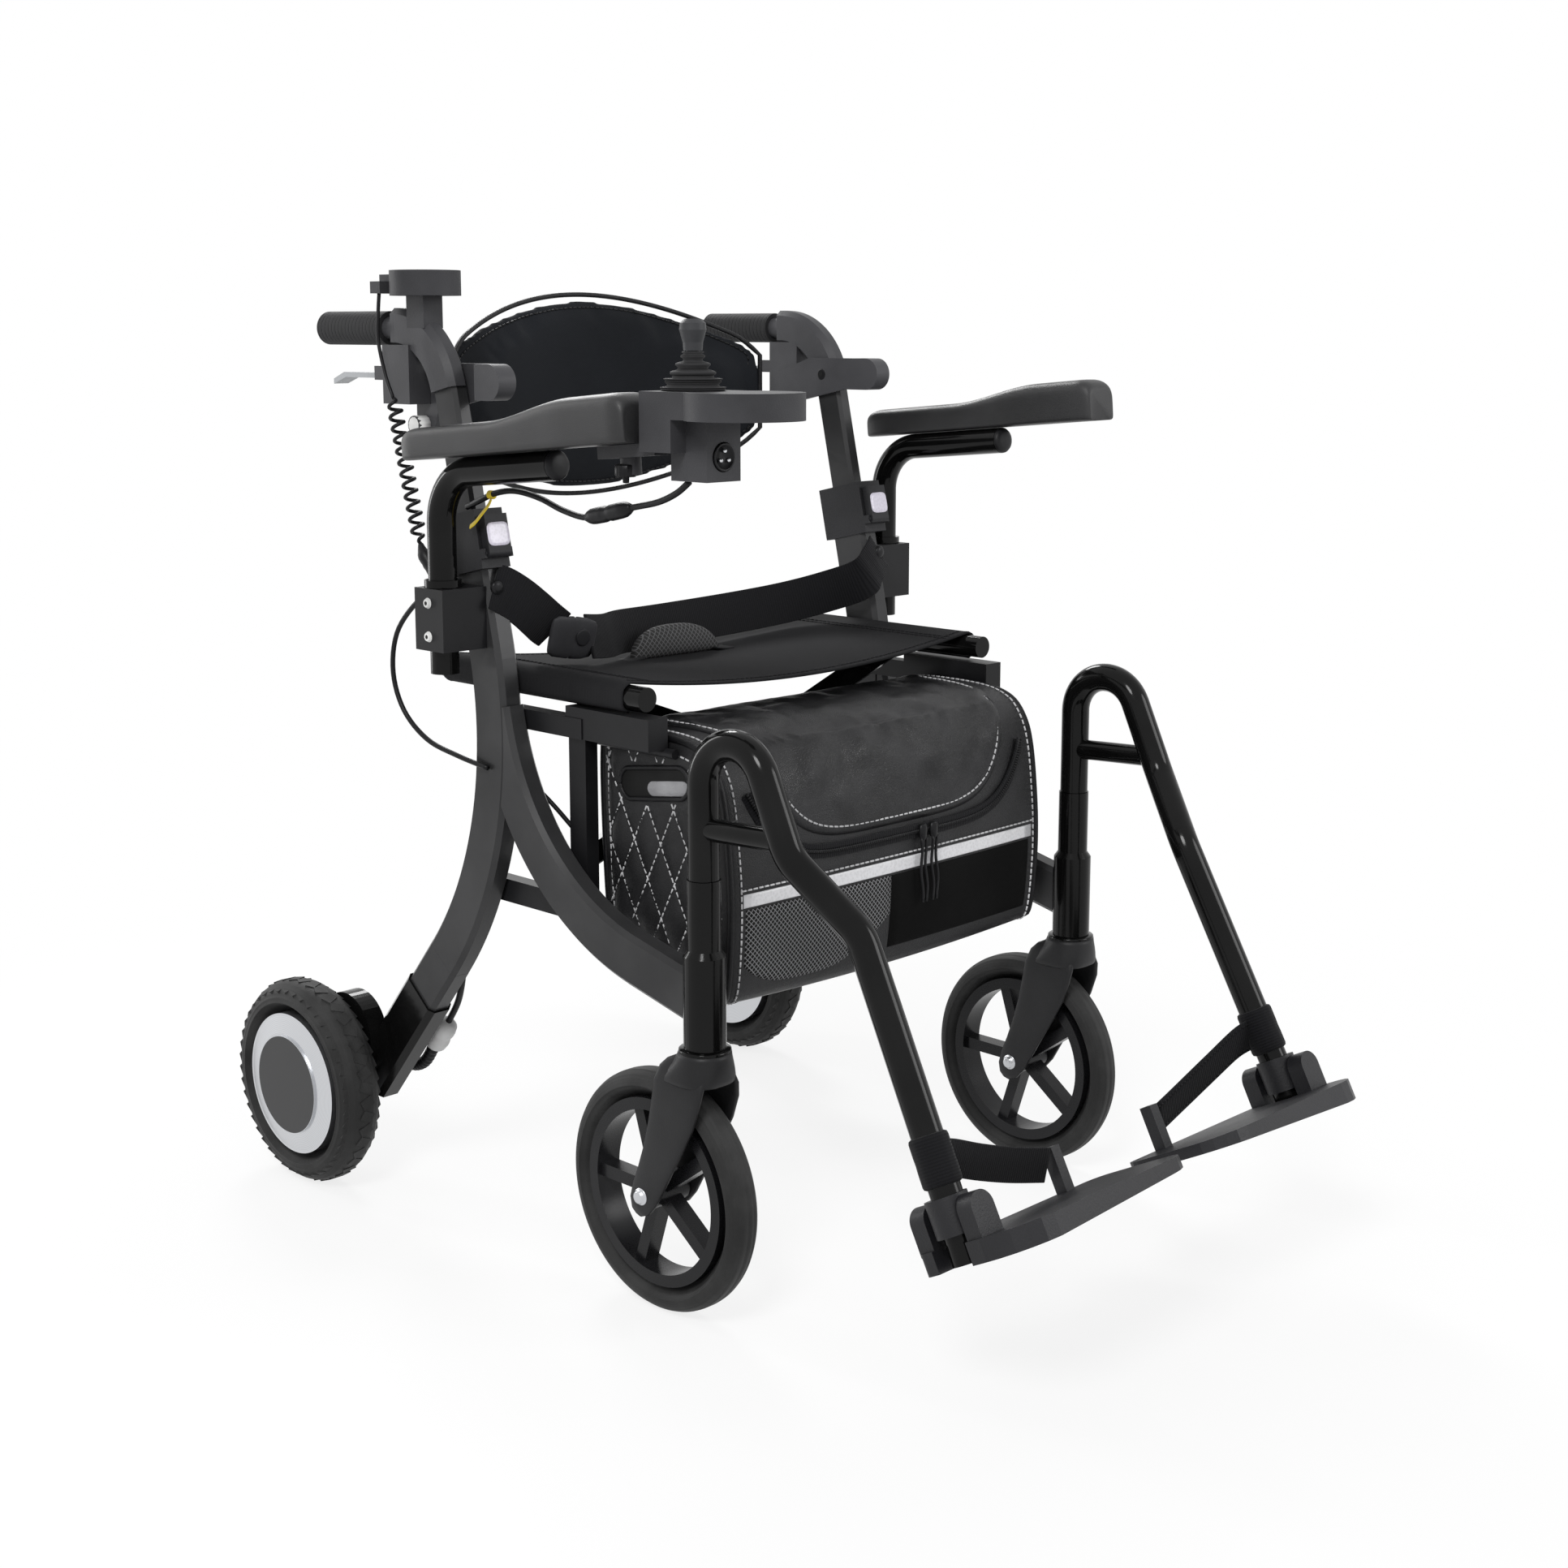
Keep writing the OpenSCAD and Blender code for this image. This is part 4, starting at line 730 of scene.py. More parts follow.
class NodeTree:
    """A Geometry Nodes group with named inputs."""

    def __init__(self, name, **inputs):
        self.group = bpy.data.node_groups.new(name, "GeometryNodeTree")
        face = self.group.interface
        face.new_socket("Geometry", in_out="INPUT", socket_type="NodeSocketGeometry")
        face.new_socket("Geometry", in_out="OUTPUT", socket_type="NodeSocketGeometry")
        for label, kind in inputs.items():
            face.new_socket(label, in_out="INPUT", socket_type="NodeSocket" + kind)
        self.source = self.group.nodes.new("NodeGroupInput")

    def node(self, kind, settings=None, sockets=None):
        made = self.group.nodes.new(kind)
        for key, value in (settings or {}).items():
            setattr(made, key, value)
        for key, value in (sockets or {}).items():
            if isinstance(value, bpy.types.NodeSocket):
                self.group.links.new(value, made.inputs[key])
            else:
                made.inputs[key].default_value = value
        return made

    def end(self, instances):
        """Realize Instances, Set Material, and the way out."""
        real = self.node("GeometryNodeRealizeInstances", {}, {"Geometry": instances})
        coated_mesh = self.node("GeometryNodeSetMaterial", {}, {
            "Geometry": real.outputs[0], "Material": self.source.outputs["Material"]})
        self.node("NodeGroupOutput", {}, {"Geometry": coated_mesh.outputs[0]})

    def make(self, name, base, body, smooth, slot, **values):
        """Runs the tree on a base mesh and leaves a plain mesh piece."""
        piece = bpy.data.objects.new(name, base)
        scene.collection.objects.link(piece)
        modifier = piece.modifiers.new("rows", "NODES")
        modifier.node_group = self.group
        for item in self.group.interface.items_tree:
            if item.in_out == "INPUT" and item.name in values:
                modifier[item.identifier] = values[item.name]
        result = bpy.data.meshes.new_from_object(piece.evaluated_get(bpy.context.evaluated_depsgraph_get()))
        piece.modifiers.clear()
        piece.data = result
        result.polygons.foreach_set("use_smooth", [smooth] * len(result.polygons))
        mount(piece, body)
        return piece


print("tree class ready")

# %% [markdown]
# A stitch is a short thread along its seam. The tree turns edges to a curve, steps along it by the pitch and sets
# a thin six-sided bar on each step, in line with the curve.

# %% Stitch rows
stitcher = NodeTree("stitch_row", Length="Float", Pitch="Float", Thick="Float", Material="Material")
strand = stitcher.node("GeometryNodeMeshToCurve", {}, {"Mesh": stitcher.source.outputs["Geometry"]})
steps = stitcher.node("GeometryNodeResampleCurve", {"mode": "LENGTH"}, {
    "Curve": strand.outputs[0], "Length": stitcher.source.outputs["Pitch"]})
stitch = stitcher.node("GeometryNodeMeshCylinder", {}, {
    "Vertices": 6, "Radius": stitcher.source.outputs["Thick"], "Depth": stitcher.source.outputs["Length"]})
heading = stitcher.node("FunctionNodeAlignRotationToVector", {"axis": "Z"}, {
    "Vector": stitcher.node("GeometryNodeInputTangent").outputs[0]})
stitcher.end(stitcher.node("GeometryNodeInstanceOnPoints", {}, {
    "Points": steps.outputs[0], "Instance": stitch.outputs[0], "Rotation": heading.outputs[0]}).outputs[0])


def strands(name, lines):
    """Open lines as one mesh of edges."""
    mesh = bpy.data.meshes.new(name)
    verts, edges = [], []
    for line in lines:
        edges += [(len(verts) + k, len(verts) + k + 1) for k in range(len(line) - 1)]
        verts += [tuple(p) for p in line]
    mesh.from_pydata(verts, edges, [])
    return mesh


def sew(name, lines, body, slot, finish=thread_white, length=0.0042, pitch=0.0060, thick=0.0008):
    return stitcher.make(name, strands(name, lines), body, True, slot,
                         Length=length, Pitch=pitch, Thick=thick, Material=finish)


print("stitch tree inputs:", [item.name for item in stitcher.group.interface.items_tree])

# %% [markdown]
# A screw head is a low cone, and its recess is a thin near-black six-sided disc on top, which is painted shade. Each
# point carries its own aim, as an attribute, and the tree turns the head to it, so one tree serves heads that look in
# any direction.

# %% Fastener heads
fastener = NodeTree("fastener_heads", Radius="Float", Top="Float", Height="Float", Sides="Int", Material="Material")
dome = fastener.node("GeometryNodeMeshCone", {}, {
    "Vertices": fastener.source.outputs["Sides"], "Radius Top": fastener.source.outputs["Top"],
    "Radius Bottom": fastener.source.outputs["Radius"], "Depth": fastener.source.outputs["Height"]})
aim = fastener.node("GeometryNodeInputNamedAttribute", {"data_type": "FLOAT_VECTOR"}, {"Name": "aim"})
turn_to = fastener.node("FunctionNodeAlignRotationToVector", {"axis": "Z"}, {"Vector": aim.outputs[0]})
fastener.end(fastener.node("GeometryNodeInstanceOnPoints", {}, {
    "Points": fastener.source.outputs["Geometry"], "Instance": dome.outputs[0],
    "Rotation": turn_to.outputs[0]}).outputs[0])


def set_vectors(mesh, name, values):
    """Gives each point of a mesh a direction under a name that a tree can read."""
    layer = mesh.attributes.new(name, "FLOAT_VECTOR", "POINT")
    for item, direction in zip(layer.data, values):
        item.vector = direction


def points(name, places, aims):
    """Loose points, each with the direction that its head looks in."""
    mesh = bpy.data.meshes.new(name)
    mesh.from_pydata([tuple(p) for p in places], [], [])
    set_vectors(mesh, "aim", aims)
    return mesh


def screws(name, places, aims, body, slot, finish, radius, height):
    """Domed heads, each with a thin dark six-sided disc on top as painted shade for its recess."""
    fastener.make(name, points(name, places, aims), body, False, slot, Radius=radius, Top=radius * 0.72,
                  Height=height, Sides=20, Material=finish)
    # The recess is not cut: a thin near-black disc on the head is painted shade.
    lift = [p + Vector(a).normalized() * (height - 0.0002) for p, a in zip(places, aims)]
    fastener.make(name + "_recess", points(name, lift, aims), body, False, slot, Radius=radius * 0.42,
                  Top=radius * 0.40, Height=0.0003, Sides=6, Material=dark_recess)


print("node trees:", [g.name for g in bpy.data.node_groups])

# %% [markdown]
# ## Seat
# The seat is one strong cloth stretched between two rails, with a hem sewn round each rail. It sags in the middle
# under its own slack. A sheet could be pinned and dropped in a simulation, but a stretched sling keeps a plain curve,
# so it is lofted, with real thickness and sewn hems.

# %% Seat sling
RAIL_X, RAIL_Z, SAG, CLOTH = 209.0, 493.0, 16.0, 2.0
HEM, CLEAR_X = 11.9, 219.2
HEM_STEPS, SPAN_STEPS = 11, 36


def sling_z(x, lift):
    """Height of the sagging cloth at x, between the rails."""
    return RAIL_Z + HEM + lift - SAG * (1 - (x / RAIL_X) ** 2)


def seat_line(y, lift=0.0):
    """The seat's middle surface across the chair, hem to hem."""
    line = []
    for step in range(HEM_STEPS):
        t = math.radians(255 - 16.5 * step)
        line.append((-RAIL_X + (HEM + lift) * math.cos(t), RAIL_Z + (HEM + lift) * math.sin(t)))
    for k in range(1, SPAN_STEPS):
        x = RAIL_X * (2 * k / SPAN_STEPS - 1)
        line.append((x, sling_z(x, lift)))
    mirror = [(-x, z) for x, z in reversed(line[:HEM_STEPS])]
    return [at(max(-CLEAR_X - lift, min(CLEAR_X + lift, x)), y, z) for x, z in line + mirror]


def narrow(pieces):
    """Gives each soft piece its own copy of its mesh."""
    for piece in pieces:
        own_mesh(piece)


front_hem, back_hem = [(-14, 0.3), (-13.6, 0.9), (-12, 1.3)], [(222, 1.3), (223.6, 0.9), (224, 0.3)]
seat_rings = []
for y, thick in front_hem + [(-8 + 228 * k / 24, 1.0) for k in range(25)] + back_hem:
    seat_rings.append(seat_line(y, CLOTH / 2 * thick) + list(reversed(seat_line(y, -CLOTH / 2 * thick))))
seat = add_piece("seat_cloth", seat_rings, "seat", seat_cloth)
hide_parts("seat_sling")
seat_across = path_length(seat_line(0.0))
narrow([seat])
print("seat cloth across, m:", round(seat_across, 3))

# %% [markdown]
# The hem round each rail is held by two rows of stitches, and one row runs along the front and the back edge. The
# stitch tree sets them in the cloth's own black, so they show only as a fine relief.

# %% Seat seams
SEAM_LIFT, SEAM_ROWS_X, SEAM_ROWS_Y = 1.2, (186, 180), (-5, 215)


def seat_top(x, y):
    """A place just above the seat."""
    return at(x, y, sling_z(x, SEAM_LIFT))


side_rows = [[seat_top(s * x, -10 + 3 * k) for k in range(77)] for s, word in SIDES for x in SEAM_ROWS_X]
edge_rows = [[seat_top(-205 + 4.1 * k, y) for k in range(101)] for y in SEAM_ROWS_Y]
seat_seams = sew("seat_seams", side_rows + edge_rows, "seat", "seat_fabric", seat_cloth, pitch=0.0056, thick=0.0006)
narrow([seat_seams])
print("seat seam rows:", len(side_rows) + len(edge_rows))

# %% [markdown]
# ## Pull handle on the seat
# A short grey padded grip lies on the seat; lifting it folds the chair. It is a soft roll, thicker in the
# middle, with a webbing end each side that is sewn to the seat.

# %% Pull handle
PULL_X, PULL_Y, PULL_LEN, PULL_H, PULL_T = -12.0, 150.0, 104.0, 14.0, 7.0
PULL_LEAN, PULL_RINGS = 5.0, 28
TAB_W, TAB_T, TAB_LINE = 0.020, 0.0018, ((44, 3), (50, 2), (58, 0.9), (66, 1.0))


def strap(name, path, section, body, wide, end_wide=None):
    """A length of webbing; wide and end_wide say which way it lies at its two ends."""
    return add_piece(name, sweep(path, section, wide, end_wide), body, webbing)


pull_z = sling_z(PULL_X, SEAM_LIFT)
pull_rings = []
for k in range(PULL_RINGS + 1):
    u = 2 * k / PULL_RINGS - 1
    g = (1 - min(1.0, abs(u)) ** 2.6) ** 0.6
    ring = []
    for t in angles(28):
        up = PULL_H * (0.18 + 0.82 * g) * (1 + shaped(math.sin(t), 0.7))
        lean = PULL_LEAN * (up / (2 * PULL_H)) ** 2
        out = PULL_T * (0.45 + 0.55 * g) * shaped(math.cos(t), 0.8)
        ring.append(at(PULL_X + u * PULL_LEN / 2, PULL_Y + lean + out, pull_z + 0.4 + up))
    pull_rings.append(ring)
pull = add_piece("pull_handle", pull_rings, "seat", handle_cloth)
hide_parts("seat_handle")
tabs = []
for s, word in SIDES:
    tab_path = smooth_path([at(PULL_X + s * d, PULL_Y, pull_z + h) for d, h in TAB_LINE])
    tabs.append(strap(f"pull_tab_{word}", tab_path, flat_section(TAB_W, TAB_T), "seat", (0, 1, 0)))
narrow([pull] + tabs)
print("pull handle, mm:", PULL_LEN)

# %% [markdown]
# ## Backrest
# The backrest is a curved foam band covered in dark cloth, tall in the middle and narrow at the arms, with a
# piped edge. Real padding swells between its seams, so a slightly smaller form is made here first, from rings
# that follow the band's height, thickness and curve.

# %% Backrest form
BACK_HALF, BACK_Z, BACK_END_Y = 190.0, 723.8, 239.0


def back_shape(u):
    """Half height, half thickness and middle y of the backrest at u, from -1 to 1."""
    ends = max(0.0, (abs(u) - 0.86) / 0.14)
    tall = (84 + 100 * (1 - u * u)) / 2 * (1 - 0.22 * ends * ends)
    return tall, 3 + 9.5 * (1 - u ** 4) ** 0.5, BACK_END_Y + 52 * (1 - u * u)


back_rings = []
for k in range(65):
    u = -math.cos(math.pi * k / 64) * 0.3 + (2 * k / 64 - 1) * 0.7
    tall, thick, y = back_shape(u)
    back_rings.append([at(BACK_HALF * u, y + thick * shaped(math.sin(t), 0.75),
                          BACK_Z + tall * shaped(math.cos(t), 0.85)) for t in angles(40)])
back = add_piece("backrest_cushion", back_rings, "right_backrest", back_cloth)
print("backrest, mm:", BACK_HALF * 2)

# %% [markdown]
# The form is then blown up with Cloth pressure, which rounds it the way foam does. The cloth runs on a voxel copy
# with even faces, a cap keeps every point near its start, and one subdivision smooths the result.

# %% Blow up the padding


def puff(piece, voxel, cap, pressure=4.0, frames=20):
    """Cloth pressure on a voxel copy of a piece; no point moves further than cap."""
    source = piece.data
    work = bpy.data.objects.new("padding_work", source.copy())
    scene.collection.objects.link(work)
    remesh = work.modifiers.new("voxels", "REMESH")
    remesh.mode, remesh.voxel_size, remesh.use_smooth_shade = "VOXEL", voxel, True
    graph = bpy.context.evaluated_depsgraph_get()
    start = bpy.data.meshes.new_from_object(work.evaluated_get(graph))
    work.modifiers.clear()
    work.data = start
    rest = [v.co.copy() for v in start.vertices]
    cloth = work.modifiers.new("cloth", "CLOTH")
    cloth.settings.use_pressure = True
    cloth.settings.uniform_pressure_force = pressure
    cloth.settings.effector_weights.gravity = 0.0
    cloth.settings.tension_stiffness = 12.0
    for f in range(1, frames + 1):
        scene.frame_set(f)
    blown = bpy.data.meshes.new_from_object(work.evaluated_get(bpy.context.evaluated_depsgraph_get()))
    scene.frame_set(1)
    for vert, home in zip(blown.vertices, rest):
        move = vert.co - home
        if move.length > cap:
            vert.co = home + move.normalized() * cap
    work.modifiers.clear()
    bpy.data.objects.remove(work)
    blown.materials.clear()
    blown.materials.append(source.materials[0])
    blown.polygons.foreach_set("use_smooth", [True] * len(blown.polygons))
    piece.data = blown
    smoother = piece.modifiers.new("round", "SUBSURF")
    smoother.levels = smoother.render_levels = 1
    return len(blown.vertices)


print("backrest points after padding:", puff(back, voxel=0.005, cap=0.006))
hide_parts("backrest_pad")
BACK_ANCHOR = tuple(at(-BACK_HALF, BACK_END_Y, BACK_Z))
narrow([back])

# %% [markdown]
# A cord sewn into the cover's edge makes the thin piped line round the backrest. It is one round tube along the
# rim, along the top in one direction and back along the bottom.

# %% Backrest piping
edge = []
for way in (1, -1):
    for k in range(61):
        u = way * (2 * k / 60 - 1) * 0.992
        tall, thick, y = back_shape(u)
        edge.append(at(BACK_HALF * u, y + 1.5, BACK_Z + way * (tall + 1.0)))
edge.append(edge[0])
piping = add_piece("backrest_piping", sweep(edge, round_section(0.0046, 10)), "right_backrest", bag_trim)
narrow([piping])
print("piping, m:", round(path_length(edge), 3))

# %% [markdown]
# ## Bag under the seat
# The bag is coated cloth over a soft board: quilted sides with white stitching, a lid that wraps over
# the front, a zip, a reflective strip and a net pocket. It is lofted from its side outline, bulges between
# its two ends, and its quilting is real relief that falls to zero on the stitch lines.

# %% Bag outline
BAG_HALF, BAG_COUNT, BAG_EDGE = 195.6, 144, 10.0
corners = [(46, 450), (34, 464), (-58, 464), (-88, 454), (-106, 424), (-115, 336), (-110, 260), (-98, 246),
           (30, 288), (40, 298)]
line = [Vector(c) for c in corners]
for _ in range(3):
    line = [p for a, b in zip(line, line[1:] + line[:1]) for p in (a.lerp(b, 0.22), a.lerp(b, 0.78))]
total = sum((b - a).length for a, b in zip(line, line[1:] + line[:1]))
outline, want, walked = [], 0.0, 0.0
for a, b in zip(line, line[1:] + line[:1]):
    span = (b - a).length
    while want < walked + span and len(outline) < BAG_COUNT:
        outline.append(a.lerp(b, (want - walked) / span))
        want += total / BAG_COUNT
    walked += span
heart = sum(outline, Vector((0, 0))) / BAG_COUNT
print("bag outline, mm round:", round(total), "middle:", [round(v) for v in heart])

# %% [markdown]
# Everything on the bag is placed by two numbers: how far across the chair, and how far round the outline. One
# function turns them into a place on the swelling skin, so lid, strip, zip and seams all follow it.

# %% Places on the bag


def outline_at(t):
    """Point and outward direction of the outline at a place t, counted in outline steps."""
    k = int(math.floor(t)) % BAG_COUNT
    a, b = outline[k], outline[(k + 1) % BAG_COUNT]
    before, after = outline[k - 1], outline[(k + 2) % BAG_COUNT]
    along = (after - before).normalized()
    out = Vector((along.y, -along.x))
    p = a.lerp(b, t - math.floor(t))
    return p, out if out.dot(p - heart) > 0 else -out


def bag_point(x, t, lift=0.0):
    """A place on the bag: x across the chair, t round the outline, lift above the skin."""
    p, out = outline_at(t)
    u = x / BAG_HALF
    swell = 5.0 * (1 - u * u) * (0.15 if out.y > 0.8 else 1.0)
    over = max(0.0, abs(x) - (BAG_HALF - BAG_EDGE))
    inset = BAG_EDGE - math.sqrt(max(0.0, BAG_EDGE ** 2 - over * over))
    p = p + out * (swell - inset + lift)
    return at(x, p.x, p.y)


def side_face(t, share):
    """A place (y, z) on the bag's flat side: share 0 is its middle, 1 its rim."""
    p, out = outline_at(t)
    return heart + (p - out * BAG_EDGE - heart) * share


print("bag front, m:", [round(v, 3) for v in bag_point(0.0, BAG_COUNT / 2)])

# %% [markdown]
# The sides are quilted in diamonds and have a hand hole. Padding rises between the stitch lines and dies away at
# the hole and at the rim, so the relief is a product of two sines and two fades.

# %% Quilt relief and hand hole
HOLE_Y, HOLE_Z, HOLE_HALF, HOLE_R, HOLE_TILT = -25.0, 422.0, 29.0, 13.0, math.radians(-8)
QUILT_W, QUILT_H, QUILT_RISE = 32.0, 62.0, 3.2


def hole_local(y, z):
    """The same place, counted along and across the tilted hole."""
    dy, dz = y - HOLE_Y, z - HOLE_Z
    return (dy * math.cos(HOLE_TILT) + dz * math.sin(HOLE_TILT),
            -dy * math.sin(HOLE_TILT) + dz * math.cos(HOLE_TILT))


def hole_reach(y, z):
    """Distance from the hand hole's edge, in mm, negative inside."""
    a, b = hole_local(y, z)
    return math.hypot(max(0.0, abs(a) - HOLE_HALF), b) - HOLE_R


def quilt(y, z, edge_fall):
    """How far the padding stands out at a place on the side."""
    a, b = y / QUILT_W + z / QUILT_H, y / QUILT_W - z / QUILT_H
    relief = abs(math.sin(math.pi * a) * math.sin(math.pi * b)) ** 0.5
    return QUILT_RISE * relief * edge_fall * max(0.0, min(1.0, hole_reach(y, z) / 8.0))


print("quilt diamond, mm:", QUILT_W, "x", QUILT_H)

# %% [markdown]
# The shell is one loft: rings that grow from the middle of one side to its rim, stations across the chair that
# follow the rounded end and the swelling, and the first side's rings again, mirrored.

# %% Bag skin
CAP_STEPS = 30
bag_rings = []
for k in range(CAP_STEPS):
    share = (k + 0.15) / CAP_STEPS
    ring = []
    for t in range(BAG_COUNT):
        p = side_face(t, share)
        ring.append(at(-BAG_HALF - quilt(p.x, p.y, min(1.0, (1 - share) * 8)), p.x, p.y))
    bag_rings.append(ring)
stations = [-BAG_HALF + BAG_EDGE * (1 - math.cos(math.pi / 2 * k / 5)) for k in range(6)]
stations += [-BAG_HALF + BAG_EDGE + 2 * (BAG_HALF - BAG_EDGE) * k / 20 for k in range(1, 11)]
stations += [-x for x in reversed(stations[:-1])]
bag_rings += [[bag_point(x, t) for t in range(BAG_COUNT)] for x in stations]
bag_rings += [[Vector((-p.x, p.y, p.z)) for p in ring] for ring in reversed(bag_rings[:CAP_STEPS])]
bag = add_piece("bag_shell", bag_rings, "right_frame", bag_skin)
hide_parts("under_seat_bag")
BAG_ANCHOR = tuple(at(-BAG_HALF, 0, 360))
bag_pieces = [bag]


def bag_part(name, rings, finish):
    """A piece on the bag, listed with the bag's other pieces."""
    bag_pieces.append(add_piece(name, rings, "right_frame", finish))


def bag_seam(name, lines):
    """White stitches on the bag."""
    bag_pieces.append(sew(name, lines, "right_frame", "bag_leather"))


print("bag faces:", len(bag.data.polygons))

# %% [markdown]
# White thread crosses the sides in two directions and stops short of the rim and the hand hole. A piped edge and
# a sewn line run round each end, and another line closes the quilting.

# %% Bag quilting and piping
QUILT_MARGIN, HOLE_MARGIN, SHORTEST_ROW = 13, 5, 3


def room_at(y, z):
    """How far a place on the side is from the outline, in mm, on the way out from the middle."""
    inside = Vector((y, z)) - heart
    way = inside.normalized()
    nearest = min(outline, key=lambda q: -(q - heart).normalized().dot(way))
    return (nearest - heart).length - inside.length


def quilt_line(side_x, lean, k):
    """One stitch line over a side, as the stretches that are clear of the rim and the hand hole."""
    stretches, row = [], []
    for z in range(250, 462, 3):
        y = QUILT_W * (k - lean * z / QUILT_H)
        if room_at(y, z) > QUILT_MARGIN and hole_reach(y, z) > HOLE_MARGIN:
            row.append(at(side_x, y, z))
        else:
            stretches.append(row)
            row = []
    return [row for row in stretches + [row] if len(row) >= SHORTEST_ROW]


quilt_rows = []
for side_x in (-BAG_HALF - 0.4, BAG_HALF + 0.4):
    for lean in (1, -1):
        for k in range(-14, 15):
            quilt_rows += quilt_line(side_x, lean, k)
bag_seam("bag_quilting", quilt_rows)
for s, word in SIDES:
    rim = [bag_point(s * (BAG_HALF - 3), t) for t in range(BAG_COUNT)]
    bag_part(f"bag_piping_{word}", sweep(rim + rim[:1], round_section(0.006, 10)), bag_trim)
    row = [bag_point(s * (BAG_HALF - 11), t, 0.5) for t in range(BAG_COUNT)]
    bag_seam(f"bag_edge_seam_{word}", [row + row[:1]])
    face = [at(s * (BAG_HALF + 0.5), *side_face(t % BAG_COUNT, 0.955)) for t in range(BAG_COUNT + 1)]
    bag_seam(f"bag_side_seam_{word}", [face])
print("quilting rows:", len(quilt_rows))

# %% [markdown]
# The hand hole is a long slot with a bound rim; the bag's skin stays closed behind it. A dark plate, painted shade,
# stands for the shaded inside of the bag, and a paler one in it for the lining that the light catches. Both are thin
# domed plates with the slot's own outline.

# %% Hand holes
HOLE_PLATES = (  # part, finish, how proud, size, its height's share, move along and move down
    ("dark", dark_recess, 0.5, 1.0, 1.0, 0.0, 0.0),
    ("lining", lining, 0.9, 0.60, 0.8, -16.0, 4.4))


def stadium(half, r, count=40):
    """A slot's outline: two half circles that stand apart by twice half."""
    return [(math.copysign(half, math.cos(t)) * (abs(math.cos(t)) > 1e-9) + r * math.cos(t), r * math.sin(t))
            for t in angles(count)]


def hole_point(side_x, a, b):
    """A place on the bag's side, counted along and across the tilted hole."""
    y = HOLE_Y + a * math.cos(HOLE_TILT) - b * math.sin(HOLE_TILT)
    z = HOLE_Z + a * math.sin(HOLE_TILT) + b * math.cos(HOLE_TILT)
    return at(side_x, y, z)


slot_line = stadium(HOLE_HALF, HOLE_R)
for s, word in SIDES:
    rim = [hole_point(s * (BAG_HALF + 0.4), a, b) for a, b in slot_line]
    bag_part(f"hand_hole_rim_{word}", sweep(rim + rim[:1], round_section(0.004, 10)), bag_trim)
    # The dark plate is painted shade for the hole's inside; the bag's skin has no hole behind it.
    for part, finish, proud, scale, tall, along, drop in HOLE_PLATES:
        plate = [[hole_point(s * (BAG_HALF + h), along + a * f * scale, b * f * scale * tall - drop)
                  for a, b in slot_line] for h, f in ((proud - 0.4, 1.0), (proud, 0.96), (proud, 0.02))]
        bag_part(f"hand_hole_{part}_{word}", plate, finish)
print("hand holes:", len(SIDES))

# %% [markdown]
# The front of the bag, from the top down: a lid with a white sewn edge, a curved zip with two pulls, a plain
# band, a reflective strip, and a net pocket on the near half. Each is a thin panel that follows the bag's own
# skin a little proud. The lid's leather also creases, which is a noise of two sizes on its lift.

# %% Panels on the front
front_steps = [k for k in range(BAG_COUNT) if outline[k].x < -20]


def front_at(z):
    """The place round the outline where the front of the bag is at height z."""
    for a, b in zip(front_steps, front_steps[1:]):
        za, zb = outline[a].y, outline[b].y
        if za >= z > zb and outline[a].x < -56:
            return a + (za - z) / (za - zb)
    return front_steps[0]


def crease(x, t, v):
    """Slack leather: a broad wave and a finer one."""
    broad = noise.noise(Vector((x / 34.0 + 0.5 * v, t / 7.0, 2.0)))
    return broad + 0.6 * noise.noise(Vector((x / 15.0, t / 4.0 + x / 40.0, 7.0)))


def panel(name, edges, lift, finish, rows=16, ripple=0.0):
    """A thin panel on the skin; edges gives (x, upper t, lower t) from right to left. ripple wrinkles it."""
    rings = []
    for k, (x, upper, lower) in enumerate(edges):
        proud = lift * (0.15 if k in (0, len(edges) - 1) else 1.0)
        inside = 1 - abs(2 * k / (len(edges) - 1) - 1) ** 6
        front = []
        for j in range(rows + 1):
            t, v = upper + (lower - upper) * j / rows, 2 * j / rows - 1
            slack = ripple * crease(x, t, v) * inside * (1 - v ** 8)
            front.append(bag_point(x, t, proud * (0.2 if j in (0, rows) else 1.0) + slack))
        rings.append(front + [bag_point(x, upper + (lower - upper) * j / rows, -0.6) for j in range(rows, -1, -1)])
    bag_part(name, rings, finish)


print("outline steps on the front:", len(front_steps))

# %% [markdown]
# The lid wraps over the bag's front edge and ends in two round corners. Its stitches run parallel to that edge,
# a little inside it.

# %% Lid
LID_HALF, LID_TOP_Z, LID_LOW_Z, LID_SEAM = 168.0, 463.5, 372, 0.965
lid_top, lid_low = front_at(LID_TOP_Z) - 9, front_at(LID_LOW_Z)


def lid_drop(x):
    """How far down the lid reaches at x: round lower corners."""
    u = min(1.0, abs(x) / LID_HALF)
    return lid_top + (lid_low - lid_top) * (1 - u ** 5.0) ** 0.45


lid_xs = [-LID_HALF * math.cos(math.pi * k / 72) for k in range(1, 72)]
lid_edges = [(x, lid_top, lid_drop(x)) for x in lid_xs]
panel("bag_lid", lid_edges, 2.6, lid_skin, rows=40, ripple=3.0)
lid_row = [bag_point(x * LID_SEAM, lid_top + (lid_drop(x) - lid_top) * LID_SEAM, 2.7) for x in lid_xs]
bag_seam("bag_lid_seam", [lid_row])
print("lid, mm across:", 2 * LID_HALF)

# %% [markdown]
# Under the zip a reflective strip crosses the bag, with a sewn line above it. Below it lie a net pocket with a
# round lower edge on the near half and a plain dark band on the other.

